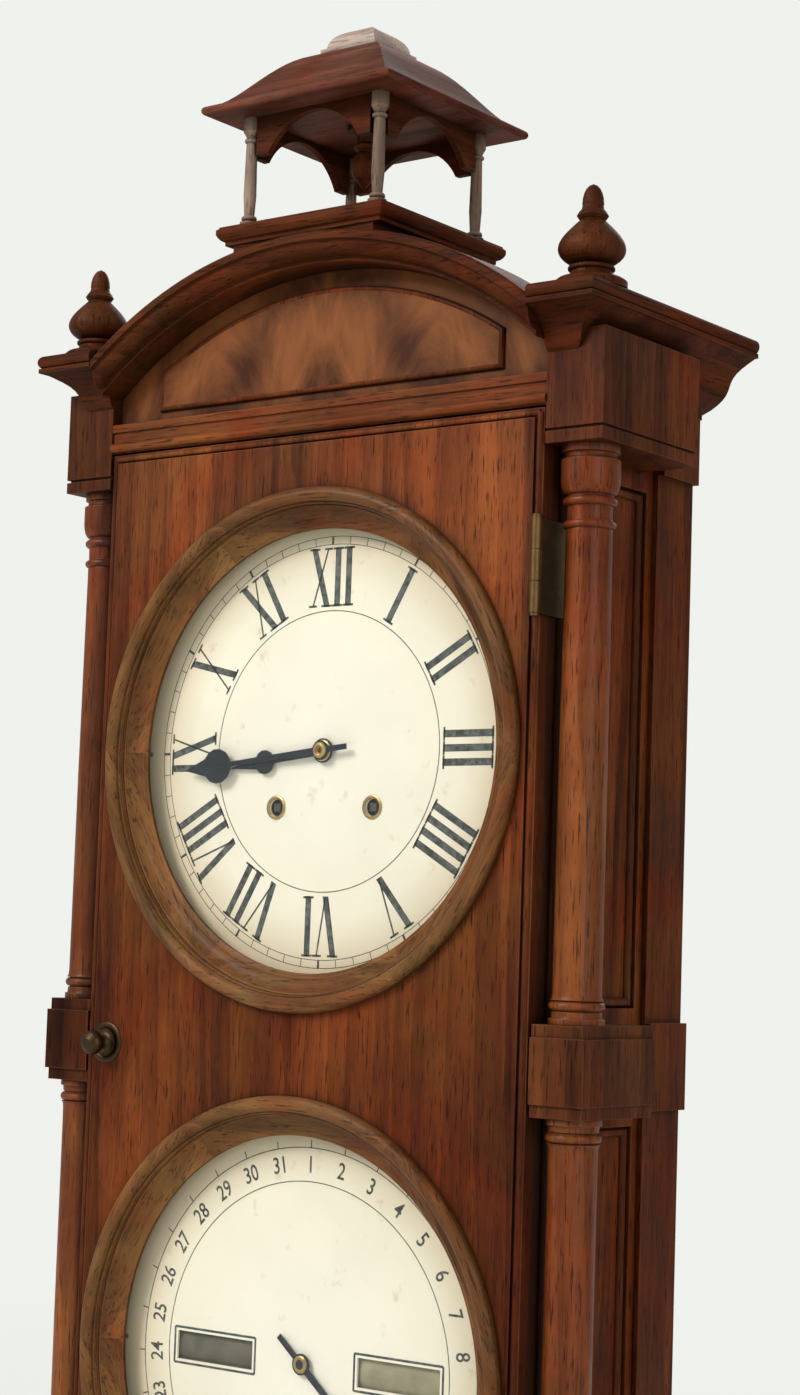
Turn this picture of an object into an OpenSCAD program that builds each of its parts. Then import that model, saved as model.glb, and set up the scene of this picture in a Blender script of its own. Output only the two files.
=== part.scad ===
// Calendar shelf clock: a walnut case with two-stage columns, an arched pediment and an
// open canopy, one door with two round openings, a time dial above and a calendar dial
// below. The case rests on z = 0, its front faces -Y, and x = 0 is its middle.

/* [Case] */
// Width of the case over its two side boards
case_w = 236; // [232:1:260]
// Depth of the base and cornice slabs, front to back
slab_d = 130; // [129:1:150]
// How far the slabs reach past each side of the case
slab_side = 32; // [30:0.5:38]
// How far the slabs stand in front of the door's face
slab_front = 17; // [15:0.5:19]
// Thickness of the base and cornice slabs
slab_t = 6; // [5:0.5:10]
// Height of the plinth under the base slab
plinth_h = 61; // [40:1:90]
// Thickness of the plinth boards
plinth_t = 10; // [8:0.5:14]
// Height of the cyma mouldings at the base and the cornice
cyma_h = 26; // [22:1:32]
// Height of the rails below and above the door
rail_h = 13; // [8:0.5:20]
// Thickness of the side boards
side_t = 9; // [8:0.5:11]
// Depth of the sunk panels in the side boards
panel_sink = 3; // [1:0.5:5]
// Thickness of the back board
back_t = 7; // [5:0.5:9]
// Set-back of the back board from the rear edge of the slabs
back_set = 3; // [0:0.5:3.5]
// Width of the rear pilasters on the sides
pilaster_w = 28; // [20:1:30]

/* [Door] */
// Height of the door
door_h = 523; // [500:1:560]
// Thickness of the door
door_t = 14; // [13:0.5:16]
// Gap round the closed door
door_gap = 1; // [0.6:0.1:2]
// Distance between the centres of the two dials
dial_pitch = 255; // [240:1:270]
// Radius of each round opening
opening_r = 94; // [86:0.5:96]
// Width of each turned dial ring
ring_w = 16.5; // [14:0.5:17]
// Thickness of each glass
glass_t = 1.8; // [1.4:0.1:2]
// Distance from the door's ends to the middle of its hinges
hinge_inset = 64; // [40:1:90]
// Height of each hinge
hinge_h = 38; // [25:1:50]
// Radius of the hinge pins
pin_r = 0.9; // [0.7:0.1:1.1]
// Radius of the door knob
knob_r = 6; // [4:0.5:7]

/* [Columns] */
// Distance of the column axes from the sides of the case
col_out = 12.5; // [12.2:0.1:14]
// Distance of the column axes behind the door's face
col_back = 15; // [13:0.5:17]
// Radius of the column shafts
col_r = 9.8; // [7:0.1:10.5]
// Radius of the columns' turned rings
col_ring_r = 12; // [11:0.1:12]
// Height of the centre blocks
mid_block_h = 36; // [24:1:50]
// Height of the corner blocks, pedestals and capitals alike
corner_block_h = 45; // [40:1:55]
// How far the corner blocks reach into the cyma mouldings
block_sink = 16; // [10:1:20]
// Length of the corner blocks from front to back
corner_block_l = 72; // [50:1:74]

/* [Pediment] */
// Rise of the arched hood above its springing
arch_rise = 41; // [32:1:50]
// Thickness of the arched hood
hood_t = 12; // [9:0.5:15]
// How far the hood stands in front of the tympanum
hood_proud = 22; // [14:0.5:22]
// Thickness of the tympanum board
tympanum_t = 8; // [6:0.5:10]
// Height of each finial
finial_h = 43; // [40:1:56]

/* [Canopy] */
// Width and depth of the canopy platform
platform_w = 90; // [84:1:90]
// Distance between the canopy posts
post_pitch = 70; // [60:1:72]
// Radius of the canopy posts
post_r = 2.8; // [2:0.1:3.5]
// Height of the canopy posts
post_h = 49; // [40:1:70]
// Width and depth of the roof at its eaves
eave_w = 102; // [92:1:110]
// Height of the ogee roof above its eaves board
roof_h = 27; // [18:1:40]
// Height of the cap on the roof
cap_h = 12; // [8:0.5:20]

/* [Dials] */
// Thickness of the dial board
board_t = 6; // [4:0.5:8]
// How far each dial sheet reaches past its opening
dial_margin = 10; // [6:0.5:11]
// Length of the minute hand from its centre
minute_l = 76; // [60:1:82]
// Length of the hour hand from its centre
hour_l = 52; // [40:1:58]
// Length of the calendar hand from its centre
calendar_l = 72; // [60:1:80]
// Distance of each calendar window from the dial's centre
window_x = 49; // [46:0.5:56]
// Width of each calendar window
window_w = 42; // [34:1:42]
// Height of each calendar window
window_h = 12; // [8:0.5:14]

/* [Movement] */
// Width of the movement plates
plate_w = 98; // [96:1:110]
// Space between the movement plates
plate_gap = 42; // [40:0.5:44]
// Tooth module of the centre wheel
centre_m = 0.7; // [0.68:0.01:0.72]
// Tooth module of the third wheel
third_m = 0.6; // [0.58:0.01:0.62]
// Tooth module of the cannon pinion and the minute wheel
motion_m = 0.75; // [0.7:0.01:0.8]
// Effective length of the pendulum
pendulum_l = 172.6; // [160:0.1:185]
// Radius of the pendulum bob
bob_r = 21; // [14:0.5:25]
// Thickness of the pendulum bob
bob_t = 7.6; // [5:0.1:8]
// Radius of the day roller
day_r = 14; // [11:0.5:16]
// Radius of the month roller
month_r = 19; // [12:0.5:22]
// Radial play of every arbor in its hole
play = 0.06; // [0.02:0.01:0.09]

/* [Hidden] */
$fn = 64;

// Glue line between pieces that are separate solids of one body
seam = 0.1;
// Clearance between pieces that move past each other
clear = 0.4;
half_w = case_w / 2;
slab_half = half_w + slab_side;

// Heights, from the shelf up
z_slab0 = plinth_h;
z_cyma0 = z_slab0 + slab_t;
z_rail0 = z_cyma0 + cyma_h;
z_door0 = z_rail0 + rail_h + door_gap;
z_door1 = z_door0 + door_h;
z_frieze = z_door1 + door_gap;
z_cyma1 = z_frieze + rail_h;
z_slab1 = z_cyma1 + cyma_h;
z_top = z_slab1 + slab_t;
z_mid = (z_door0 + z_door1) / 2;
z_time = z_mid + dial_pitch / 2;
z_cal = z_mid - dial_pitch / 2;

// Depths, from the front back; the eaves stand in front of the slabs, and y = 0 is the
// middle between the eaves' front and the slabs' rear
eave_over = (eave_w - platform_w) / 2;
y_front = (eave_over - slab_d) / 2;
y_rear = y_front + slab_d;
y_door = y_front + slab_front;
y_carcass = y_door + door_t + 0.5;
y_back = y_rear - back_set;
y_inner = y_back - back_t;
dial_t = 1;
dial_r = opening_r + dial_margin;
y_dial = y_carcass + 1;
y_board = y_dial + dial_t;
y_board_back = y_board + board_t;

// Flare of the cyma mouldings, from their narrow end to the slab
flare = slab_side - 4.5;
nose = 0.5;
cyma_steps = 12;

// Columns and blocks
col_x = half_w + col_out;
col_y = y_door + col_back;
block_out = 27;
mid_out = 24;
z_block_low = z_rail0 - block_sink;
z_pedestal = z_block_low + corner_block_h;
z_capital = z_cyma1 + block_sink - corner_block_h;

// Pediment
y_hood = y_front + 1;
y_tymp = y_hood + hood_proud;
y_tymp_back = y_tymp + tympanum_t;
z_spring = z_slab1 + 2;
z_crown = z_spring + arch_rise;
arch_r = (half_w * half_w + arch_rise * arch_rise) / (2 * arch_rise);
z_arch = z_crown - arch_r;

// Canopy
platform_y = y_front + platform_w / 2;
platform_t = 8;
z_platform = z_crown + platform_t;
z_soffit = z_platform + post_h;
eave_t = 4;
z_eave = z_soffit + eave_t;
z_roof = z_eave + roof_h;
cap_w = 30;

// Door
door_half = half_w - 1.1;
seat_r = opening_r + 8.8;
hinge_x = half_w - 0.95;
hinge_y = y_door - 2.4;
knuckle_r = 2.2;
leaf_t = 0.8;
leaf_w = 20;
z_hinges = [z_door0 + hinge_inset, z_door1 - hinge_inset];
knob_x = -half_w + 13;
tongue_l = 10;
tongue_w = 5.2;
lip_y = y_door + 7;
y_glass = lip_y + 1.5;

// Movement: positions are offsets from the time dial's centre
plate_t = 1.5;
y_plate = y_board_back + 22;
y_plate_back = y_plate + plate_t;
y_rear_plate = y_plate_back + plate_gap;
y_rear_face = y_rear_plate + plate_t;
plate_low = -66;
plate_high = 78;
arbor_r = 1.2;
centre_n = 84;
third_n = 70;
leaf_n = 7;
centre_r = centre_m * centre_n / 2;
third_r = third_m * third_n / 2;
centre_dist = centre_m * (centre_n + leaf_n) / 2;
third_dist = third_m * (third_n + leaf_n) / 2;
third_pos = centre_dist * [cos(60), sin(60)];
escape_pos = [0, third_pos[1] + sqrt(third_dist * third_dist - third_pos[0] * third_pos[0])];
escape_r = 17;
verge_rise = 24;
verge_pos = escape_pos + [0, verge_rise];
pallet_y = 28.6;
crutch_l = 34;
strip_l = 16;
finial_r = 14.6;
wind_pos = [26, -24];
minute_n = 36;
cannon_n = 12;
minute_leaf_n = 10;
hour_n = 40;
motion_dist = motion_m * (minute_n + cannon_n) / 2;
hour_m = 2 * motion_dist / (hour_n + minute_leaf_n);
minute_pos = motion_dist * [cos(150), sin(150)];
cannon_r = 2.0;
pipe_r = 3.1;
hammer_pos = [20, -58];
y_rod = y_rear_face + 5.8;
gong_pos = [-14, -196];
gong_r = 26;
gong_wire = 1.1;
gong_foot = 11;
y_gong = y_rear_plate - 4;
lift_pos = [-12, -30];
y_lift = y_board_back + 7.5;
lift_r = 1;
lift_stroke = 8;
guide_z = 13;
hand_tail = 16;

// Calendar works
roller_l = window_w + 2;
y_day = y_board + day_r + 0.6;
y_month = y_board + month_r + 0.6;
axle_r = 1.5;
cheek_t = 1.6;
shaft_r = 1.5;

// A profile is a list of [inset from the outermost line, height]. The block has it on the
// front and both sides, and on the back too where rear_too is true.
module profiled(hx, y0, y1, prof, rear_too = false) {
  n = len(prof) - 1;
  intersection() {
    translate([0, y1, 0]) rotate([90, 0, 0]) linear_extrude(y1 - y0)
      polygon(concat(
        [for (p = prof) [hx - p[0], p[1]]],
        [for (i = [n:-1:0]) [-hx + prof[i][0], prof[i][1]]]
      ));
    translate([-hx, 0, 0]) rotate([90, 0, 90]) linear_extrude(2 * hx)
      polygon(concat(
        [for (p = prof) [y0 + p[0], p[1]]],
        [for (i = [n:-1:0]) [y1 - (rear_too ? prof[i][0] : 0), prof[i][1]]]
      ));
  }
}

// Half-round nose on the edge of a slab of thickness t
function nosing(t) = [for (i = [0:8]) let(a = -90 + i * 22.5)
  [t / 2 * (1 - cos(a)) * 0.8, t / 2 * (1 + sin(a))]];

// Cyma recta from its narrow end at height 0 to the slab at height cyma_h
function cyma() = concat(
  [[flare, 0], [flare, 2]],
  [for (i = [1:cyma_steps - 1]) let(s = i / cyma_steps)
    [nose + 1.5 + (flare - nose - 2.5) * (1 - s) - flare * 0.1 * sin(360 * s),
     2 + s * (cyma_h - 4)]],
  [[nose + 1.5, cyma_h - 2], [nose, cyma_h - 2], [nose, cyma_h]]
);

// The whole run of moulding round the front and the sides, narrow end down
module cyma_run() {
  profiled(slab_half, y_front, y_rear, cyma());
}

// Both halves of something made for the right-hand side
module both_sides() {
  children();
  mirror([1, 0, 0]) children();
}

// Turns a shape drawn flat so that it faces the front, its own z towards the viewer
module facing(y, z) {
  translate([0, y, z]) rotate([90, 0, 0]) children();
}

// Points of a half-round bead of height h on a turned profile of radius r
function bead(r, z, h) = [for (i = [0:6]) let(a = -90 + i * 30)
  [r + h / 2 * cos(a), z + h / 2 + h / 2 * sin(a)]];

// Points of a quarter hollow from [r0, z0] to [r1, z1]
function hollow(r0, z0, r1, z1) = [for (i = [0:5]) let(a = i * 18)
  [r1 + (r0 - r1) * (1 - sin(a)), z0 + (z1 - z0) * (1 - cos(a))]];

module walnut() { color([0.42, 0.20, 0.10]) children(); }
module dark_walnut() { color([0.27, 0.13, 0.07]) children(); }
module brass() { color([0.72, 0.56, 0.26]) children(); }
module steel() { color([0.45, 0.46, 0.48]) children(); }
module blued() { color([0.10, 0.11, 0.16]) children(); }
module paper() { color([0.93, 0.90, 0.80]) children(); }

// Base

// Four boards, mitred at the front, with a stepped skirt at the foot
plinth_prof = [[0, 0], [0, 12], [1.2, 15], [3.2, 17], [4.5, 18.5],
  [4.5, plinth_h - 5], [3.5, plinth_h - 3.5], [3.5, plinth_h]];
module plinth_boards() {
  inner = slab_half - 4.5 - plinth_t;
  mitre = 40;
  dark_walnut() {
    difference() {
      profiled(slab_half, y_front, y_rear, plinth_prof);
      translate([-inner, y_front + 4.5 + plinth_t, -1])
        cube([2 * inner, slab_d, plinth_h + 2]);
      both_sides() translate([0, 0, -1]) linear_extrude(plinth_h + 2) polygon([
        [slab_half + 1, y_front - 1 - seam], [slab_half + 1, y_front - 1 + seam],
        [slab_half - mitre, y_front + mitre + seam], [slab_half - mitre, y_front + mitre - seam]
      ]);
    }
    translate([-inner + seam, y_rear - plinth_t, 0])
      cube([2 * (inner - seam), plinth_t, plinth_h]);
  }
}

module base_slab() {
  dark_walnut() translate([0, 0, z_slab0])
    profiled(slab_half, y_front, y_rear, nosing(slab_t));
}

// The run is scribed round the pedestals and the case, and cut into three lengths
module base_moulding() {
  walnut() difference() {
    translate([0, 0, z_rail0]) mirror([0, 0, 1]) cyma_run();
    translate([-half_w, y_door + 1 - seam, 0]) cube([case_w, slab_d, z_rail0 + 1]);
    both_sides() {
      translate([half_w - seam, y_front - 1, 0]) cube([seam, slab_d + 2, z_rail0 + 1]);
      translate([half_w - 1, col_y - 14.5, z_block_low])
        cube([block_out + 1, corner_block_l, corner_block_h]);
    }
  }
}

module base_rail() {
  walnut() translate([-half_w + seam, y_door + 1, z_cyma0])
    cube([case_w - 2 * seam, door_t - 1, z_rail0 + rail_h - z_cyma0]);
}

// A block beside the case, with a bead cut round its open end
module corner_block() {
  l = corner_block_l;
  translate([half_w, col_y - 14.5, 0]) difference() {
    cube([block_out, l, corner_block_h]);
    translate([-1, -1, corner_block_h - 6]) difference() {
      cube([block_out + 2, l + 2, 1.2]);
      translate([0, 2.2, -1]) cube([block_out - 0.2, l - 2.4, 4]);
    }
  }
}

module column_pedestals() {
  dark_walnut() both_sides() translate([0, 0, z_block_low]) corner_block();
}

module capital_blocks() {
  dark_walnut() both_sides() translate([0, 0, z_capital + corner_block_h])
    mirror([0, 0, 1]) corner_block();
}

// Carcass

module side_board(hinged) {
  panel_z = [z_pedestal + 8, z_mid + mid_block_h / 2 + 6];
  panel_h = z_mid - mid_block_h / 2 - 6 - panel_z[0];
  panel_y = y_carcass + 12;
  panel_l = y_back - pilaster_w - 5 - panel_y;
  walnut() difference() {
    translate([half_w - side_t, y_carcass, z_cyma0])
      cube([side_t, y_inner - y_carcass, z_slab1 - z_cyma0]);
    for (z = panel_z) translate([half_w - panel_sink, panel_y, z])
      cube([panel_sink + 1, panel_l, panel_h]);
    if (hinged) for (z = z_hinges)
      translate([half_w - leaf_t, y_carcass - 1, z - hinge_h / 2 - 0.1])
        cube([leaf_t + 1, leaf_w + 2.1, hinge_h + 0.2]);
    if (!hinged) translate([half_w - side_t - 1, y_carcass + 2, z_mid - tongue_w / 2 - 0.9])
      cube([side_t - 1, 3, tongue_w / 2 + tongue_l + 1.2]);
  }
}
module side_right() { side_board(true); }
module side_left() { mirror([1, 0, 0]) side_board(false); }

module rear_pilasters() {
  y0 = y_back - pilaster_w;
  shaft = 2.5;
  cap = 5.5;
  walnut() both_sides() translate([half_w, y0, 0]) {
    translate([0, 0, z_rail0]) cube([shaft, pilaster_w, z_cyma1 - z_rail0]);
    for (z = [z_rail0, z_mid - mid_block_h / 2, z_capital])
      translate([0, 0, z]) cube([cap, pilaster_w, z == z_rail0 ? z_pedestal - z_rail0
        : (z == z_capital ? z_cyma1 - z_capital : mid_block_h)]);
  }
}

module back_board() {
  color([0.45, 0.30, 0.18]) translate([-half_w, y_inner, z_cyma0])
    cube([case_w, back_t, z_slab1 - z_cyma0]);
}

// Columns: a turned profile from the centre block at 0 to the corner block at the far end
col_l = z_capital - z_mid - mid_block_h / 2;
col_foot = col_ring_r - 0.8;
col_prof = concat(
  [[0, 0], [col_foot, 0], [col_foot, 2.5]],
  hollow(col_foot - 0.8, 2.5, col_r + 0.2, 5),
  bead(col_r - 0.6, 5.4, 4),
  hollow(col_r + 0.9, 9.6, col_r, 13),
  [[col_r - 0.1, col_l * 0.45], [col_r - 0.5, col_l - 34]],
  bead(col_r - 0.7, col_l - 33.5, 3.2),
  [[col_r - 0.7, col_l - 29.5], [col_r - 0.6, col_l - 25]],
  bead(col_r - 0.6, col_l - 24.5, 3.6),
  [for (i = [0:6]) let(a = i * 15)
    [col_r - 0.4 + (col_ring_r - col_r + 0.4) * sin(a), col_l - 13 - 7 * cos(a)]],
  [[col_ring_r, col_l - 6], [col_ring_r - 1.6, col_l - 5], [col_ring_r - 1.6, col_l - 3.5],
   [col_ring_r - 0.4, col_l - 3], [col_ring_r - 0.4, col_l], [0, col_l]]
);
module column(z, up) {
  walnut() translate([0, col_y, z]) mirror([0, 0, up ? 0 : 1])
    rotate_extrude() polygon(col_prof);
}
module column_upper_right() {
  translate([col_x, 0, 0]) column(z_mid + mid_block_h / 2, true);
}
module column_upper_left() {
  translate([-col_x, 0, 0]) column(z_mid + mid_block_h / 2, true);
}
module column_lower_right() {
  translate([col_x, 0, 0]) column(z_mid - mid_block_h / 2, false);
}
module column_lower_left() {
  translate([-col_x, 0, 0]) column(z_mid - mid_block_h / 2, false);
}

// Centre blocks, with a raised band at half height
module mid_blocks() {
  l = 51;
  dark_walnut() both_sides() translate([half_w, col_y - 12.5, z_mid - mid_block_h / 2]) {
    cube([mid_out, l, mid_block_h]);
    translate([0, -1.2, 5]) cube([mid_out + 1.2, l + 1.2, mid_block_h - 10]);
  }
}

// Cornice

module cornice_mouldings() {
  walnut() difference() {
    translate([0, 0, z_cyma1]) cyma_run();
    translate([-half_w, y_front - 1, z_cyma1 - 1])
      cube([case_w, slab_d + 2, cyma_h + 2]);
    both_sides() translate([half_w - 1, col_y - 14.5, z_capital])
      cube([block_out + 1, corner_block_l, corner_block_h]);
  }
}

module cornice_slab() {
  dark_walnut() difference() {
    translate([0, 0, z_slab1]) profiled(slab_half, y_front, y_rear, nosing(slab_t));
    translate([-half_w - seam, y_front - 1, z_slab1 - 1])
      cube([case_w + 2 * seam, y_tymp_back + seam - y_front + 1, slab_t + 2]);
  }
}

// Rail over the door, with a half-round bead along its foot
module frieze_rail() {
  walnut() translate([-half_w + seam, 0, z_frieze]) {
    translate([0, y_door + 1.5, 0])
      cube([case_w - 2 * seam, y_tymp - seam - y_door - 1.5, rail_h]);
    translate([0, y_door + 1.5, 2.5]) rotate([0, 90, 0])
      cylinder(r = 2.2, h = case_w - 2 * seam);
    translate([0, y_door + 0.6, rail_h - 3.5])
      cube([case_w - 2 * seam, 3, 3.5]);
  }
}

// Pediment

// The board under the arch, with a raised panel of figured veneer
module tympanum() {
  inner_r = arch_r - hood_t - seam;
  panel_r = inner_r - 9;
  panel_half = half_w - 26;
  panel_t = 1.5;
  color([0.50, 0.24, 0.12]) {
    intersection() {
      facing(y_tymp_back, z_arch) cylinder(r = inner_r, h = tympanum_t, $fn = 128);
      translate([-half_w + seam, y_tymp - 1, z_frieze])
        cube([case_w - 2 * seam, tympanum_t + 2, z_top]);
    }
    intersection() {
      facing(y_tymp, z_arch) cylinder(r = panel_r, h = panel_t, $fn = 128);
      translate([-panel_half, y_tymp - 2, z_cyma1 + 6])
        cube([2 * panel_half, 4, z_top]);
    }
  }
}

// Moulded arch, swept round its centre and butted against the corner mouldings
module arch_hood() {
  d = hood_proud + tympanum_t;
  r0 = arch_r - hood_t;
  half_angle = asin(half_w / arch_r) + 5;
  dark_walnut() intersection() {
    facing(y_tymp_back, z_arch) rotate([0, 0, 90 - half_angle])
      rotate_extrude(angle = 2 * half_angle, $fn = 180) polygon(concat(
        [[r0, 0], [arch_r, 0], [arch_r, d - 4]],
        [for (i = [0:6]) let(a = i * 15) [arch_r - 2 + 2 * cos(a), d - 2 + 2 * sin(a)]],
        [[arch_r - 4, d], [arch_r - 4, d - 1.5]],
        [for (i = [1:6]) let(a = i * 15)
          [r0 + 2 + (hood_t - 6) * (1 - sin(a)), d - 1.5 - 5 * (1 - cos(a))]],
        [[r0 + 2, d - 8], [r0, d - 8]]
      ));
    translate([-half_w + seam, y_front, z_frieze])
      cube([case_w - 2 * seam, slab_d, z_crown]);
  }
}

// Canopy

platform_prof = [[3, 0], [3, 1.5], [1.6, 2.2], [0.6, 3.4], [0, 4.6], [0, platform_t - 1.4],
  [1, platform_t - 0.5], [1, platform_t]];
// A moulded board on a hollow-looking box, scribed to the top of the arch
module canopy_platform() {
  box_half = platform_w / 2 - 7;
  dark_walnut() difference() {
    union() {
      translate([0, platform_y, z_crown]) profiled(platform_w / 2, -platform_w / 2,
        platform_w / 2, platform_prof, true);
      translate([-box_half, y_front + 4, z_top])
        cube([2 * box_half, platform_w - 11, z_crown - z_top]);
    }
    facing(y_tymp_back + seam, z_arch) cylinder(r = arch_r + seam, h = 60, $fn = 180);
  }
}

post_prof = concat(
  [[0, 0], [post_r + 1.2, 0], [post_r + 1.2, 3]],
  bead(post_r - 0.6, 3.4, 2.4),
  [[post_r - 0.5, 7], [post_r, 15], [post_r - 0.4, post_h - 12]],
  bead(post_r - 0.6, post_h - 11, 2),
  [[post_r - 0.2, post_h - 8], [post_r + 1, post_h - 6], [post_r + 1, post_h],
   [0, post_h]]
);
module canopy_posts() {
  color([0.52, 0.38, 0.28]) for (x = [-1, 1], y = [-1, 1])
    translate([x * post_pitch / 2, platform_y + y * post_pitch / 2, z_platform])
      rotate_extrude($fn = 32) polygon(post_prof);
}

// One board with an arch in its lower edge, fitted between two posts
module valance() {
  l = post_pitch - 2 * (post_r + 1 + seam);
  h = 17;
  difference() {
    translate([-l / 2, -1.5, -h]) cube([l, 3, h]);
    translate([0, 2, -h - 12.6]) rotate([90, 0, 0]) cylinder(r = l / 2 - 3.5, h = 4, $fn = 96);
  }
}
module canopy_valances() {
  dark_walnut() translate([0, platform_y, z_soffit])
    for (a = [0:90:270]) rotate([0, 0, a]) translate([0, -post_pitch / 2, 0]) valance();
}

// Eaves board and ogee roof, square in plan
roof_steps = 14;
roof_prof = concat(
  nosing(eave_t),
  [[3, eave_t]],
  [for (i = [0:roof_steps]) let(s = i / roof_steps, f = sin(90 * pow(s, 0.8)))
    [3 + s * (eave_w / 2 - cap_w / 2 - 1), eave_t + 0.6 + (roof_h - 0.6) * f * f]]
);
module canopy_roof() {
  dark_walnut() translate([0, platform_y, z_soffit])
    profiled(eave_w / 2, -eave_w / 2, eave_w / 2, roof_prof, true);
}

cap_prof = concat(
  [[0, 0], [0, 2.2], [1.6, 3]],
  [for (i = [0:8]) let(a = i * 10)
    [2 + (cap_w / 2 - 3) * (1 - cos(a)), 3 + (cap_h - 3) * sin(a) / sin(80)]]
);
module canopy_cap() {
  color([0.45, 0.36, 0.30]) translate([0, platform_y, z_roof])
    profiled(cap_w / 2, -cap_w / 2, cap_w / 2, cap_prof, true);
}

module canopy_pendant() {
  l = 28;
  dark_walnut() translate([0, platform_y, z_soffit]) mirror([0, 0, 1])
    rotate_extrude($fn = 48) polygon(concat(
      [[0, 0], [8, 0], [8, 2.5]],
      hollow(7, 2.5, 4, 7),
      bead(3.6, 7.4, 3),
      [for (i = [0:8]) let(a = 20 + i * 17)
        [1.4 + 4.4 * sin(a), 10.8 + 14 * (1 - cos(a)) / 2]],
      [[1.4, l - 1.5], [0, l]]
    ));
}

// Finials

// Turned shape at full size: plinth, neck, squat bulb, collar and point
finial_shape = concat(
  [[0, 0], [14.6, 0], [14.6, 2.8], [13.4, 3.8]],
  hollow(12.6, 3.8, 8.4, 7),
  bead(8.4, 7.2, 2.2),
  [for (i = [0:14]) let(t = i / 14)
    [5 + 7.6 * sin(180 * pow(t, 0.72)) + 1.6 * (1 - t), 9.6 + 18.4 * t]],
  [[5.6, 28.6], [6.4, 29.8], [5.6, 31.2], [4.6, 32.4], [4.2, 34]],
  [for (i = [0:5]) let(a = i * 17) [4.2 * cos(a) + 0.2, 34.6 + 8 * sin(a)]],
  [[0, 43]]
);
finial_prof = [for (p = finial_shape) [p[0] * finial_r / 14.6, p[1] * finial_h / 43]];
module finials() {
  dark_walnut() both_sides() translate([slab_half - finial_r - 1, col_y - 9.5, z_top])
    rotate_extrude($fn = 64) polygon(finial_prof);
}

// Door

module door_frame() {
  color([0.50, 0.25, 0.12]) difference() {
    union() {
      translate([-door_half, y_door + 1.6, z_door0]) cube([2 * door_half, door_t - 1.6, door_h]);
      translate([-door_half + 4, y_door, z_door0 + 4])
        cube([2 * door_half - 8, door_t, door_h - 8]);
      for (z = [z_door0 + 2, z_door1 - 2]) translate([-door_half + 2, y_door + 1.8, z])
        rotate([0, 90, 0]) cylinder(r = 1.5, h = 2 * door_half - 4);
      for (x = [-1, 1]) translate([x * (door_half - 2), y_door + 1.8, z_door0 + 2])
        cylinder(r = 1.5, h = door_h - 4);
    }
    for (z = [z_time, z_cal]) facing(y_door + door_t + 1, z)
      cylinder(r = seat_r + seam, h = door_t + 2, $fn = 180);
    for (z = z_hinges) translate([door_half - leaf_t, hinge_y, z - hinge_h / 2 - 0.1])
      cube([leaf_t + 1, door_t - 1, hinge_h + 0.2]);
    facing(y_door + door_t + 1, z_mid) translate([knob_x, 0, 0])
      cylinder(r = 2 + play, h = door_t + 2);
  }
}

// Turned ring: an inner lip, a wide hollow and an outer bead, rebated behind for the glass
module dial_ring(z) {
  out_r = opening_r + ring_w;
  bead_r = 3.2;
  f0 = y_door - lip_y;
  color([0.45, 0.30, 0.16]) facing(y_door, z) rotate_extrude($fn = 180) polygon(concat(
    [[opening_r, f0 - 1.5], [opening_r, f0], [opening_r + 1.4, f0 + 0.6]],
    [for (i = [0:9]) let(a = i * 10)
      [opening_r + 1.8 + (ring_w - 9) * sin(a), f0 + 1 + (0.9 - f0) * (1 - cos(a))]],
    [for (i = [0:8]) let(a = 180 - i * 22.5)
      [out_r - bead_r + bead_r * cos(a), 1.6 + bead_r * sin(a)]],
    [[out_r, seam], [seat_r, seam], [seat_r, -door_t + 0.8], [opening_r + 4.6, -door_t + 0.8],
     [opening_r + 4.6, f0 - 1.5]]
  ));
}
module dial_ring_upper() { dial_ring(z_time); }
module dial_ring_lower() { dial_ring(z_cal); }

module glass(z) {
  color([0.85, 0.92, 0.92, 0.3]) facing(y_glass + glass_t, z)
    cylinder(r = opening_r + 4.4, h = glass_t, $fn = 180);
}
module glass_upper() { glass(z_time); }
module glass_lower() { glass(z_cal); }

// Butt hinges: the case leaf has the outer knuckles, the door leaf the middle one
knuckle_third = hinge_h / 3;
module knuckle(z, h, bore) {
  translate([hinge_x, hinge_y, z]) difference() {
    cylinder(r = knuckle_r, h = h);
    translate([0, 0, -1]) cylinder(r = bore, h = h + 2);
  }
}
module hinge_case_leaves() {
  brass() for (z = z_hinges) {
    z0 = z - hinge_h / 2;
    difference() {
      union() {
        translate([half_w - leaf_t, hinge_y, z0]) cube([leaf_t, leaf_w, hinge_h]);
        translate([half_w - leaf_t, y_carcass - 1, z0]) cube([leaf_t, leaf_w + 2, hinge_h]);
        for (k = [0, 2]) translate([hinge_x, hinge_y, z0 + k * knuckle_third])
          cylinder(r = knuckle_r, h = knuckle_third - (k == 0 ? seam : 0));
      }
      translate([hinge_x, hinge_y, z0 - 1]) cylinder(r = pin_r, h = hinge_h + 2);
      translate([hinge_x - knuckle_r - 1, hinge_y - knuckle_r - 1, z0 + knuckle_third - seam])
        cube([2 * knuckle_r + 2, 2 * knuckle_r + 1.4, knuckle_third + 2 * seam]);
    }
  }
}
module hinge_door_leaves() {
  brass() for (z = z_hinges) {
    z1 = z - hinge_h / 2 + knuckle_third + seam;
    h1 = knuckle_third - 2 * seam;
    difference() {
      union() {
        translate([door_half - leaf_t, y_door + 0.2, z - hinge_h / 2])
          cube([leaf_t, door_t - 4, hinge_h]);
        translate([door_half - leaf_t, hinge_y, z1]) cube([leaf_t, 4, h1]);
        translate([hinge_x, hinge_y, z1]) cylinder(r = knuckle_r, h = h1);
      }
      translate([hinge_x, hinge_y, z1 - 1]) cylinder(r = pin_r + play, h = h1 + 2);
    }
  }
}
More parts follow.
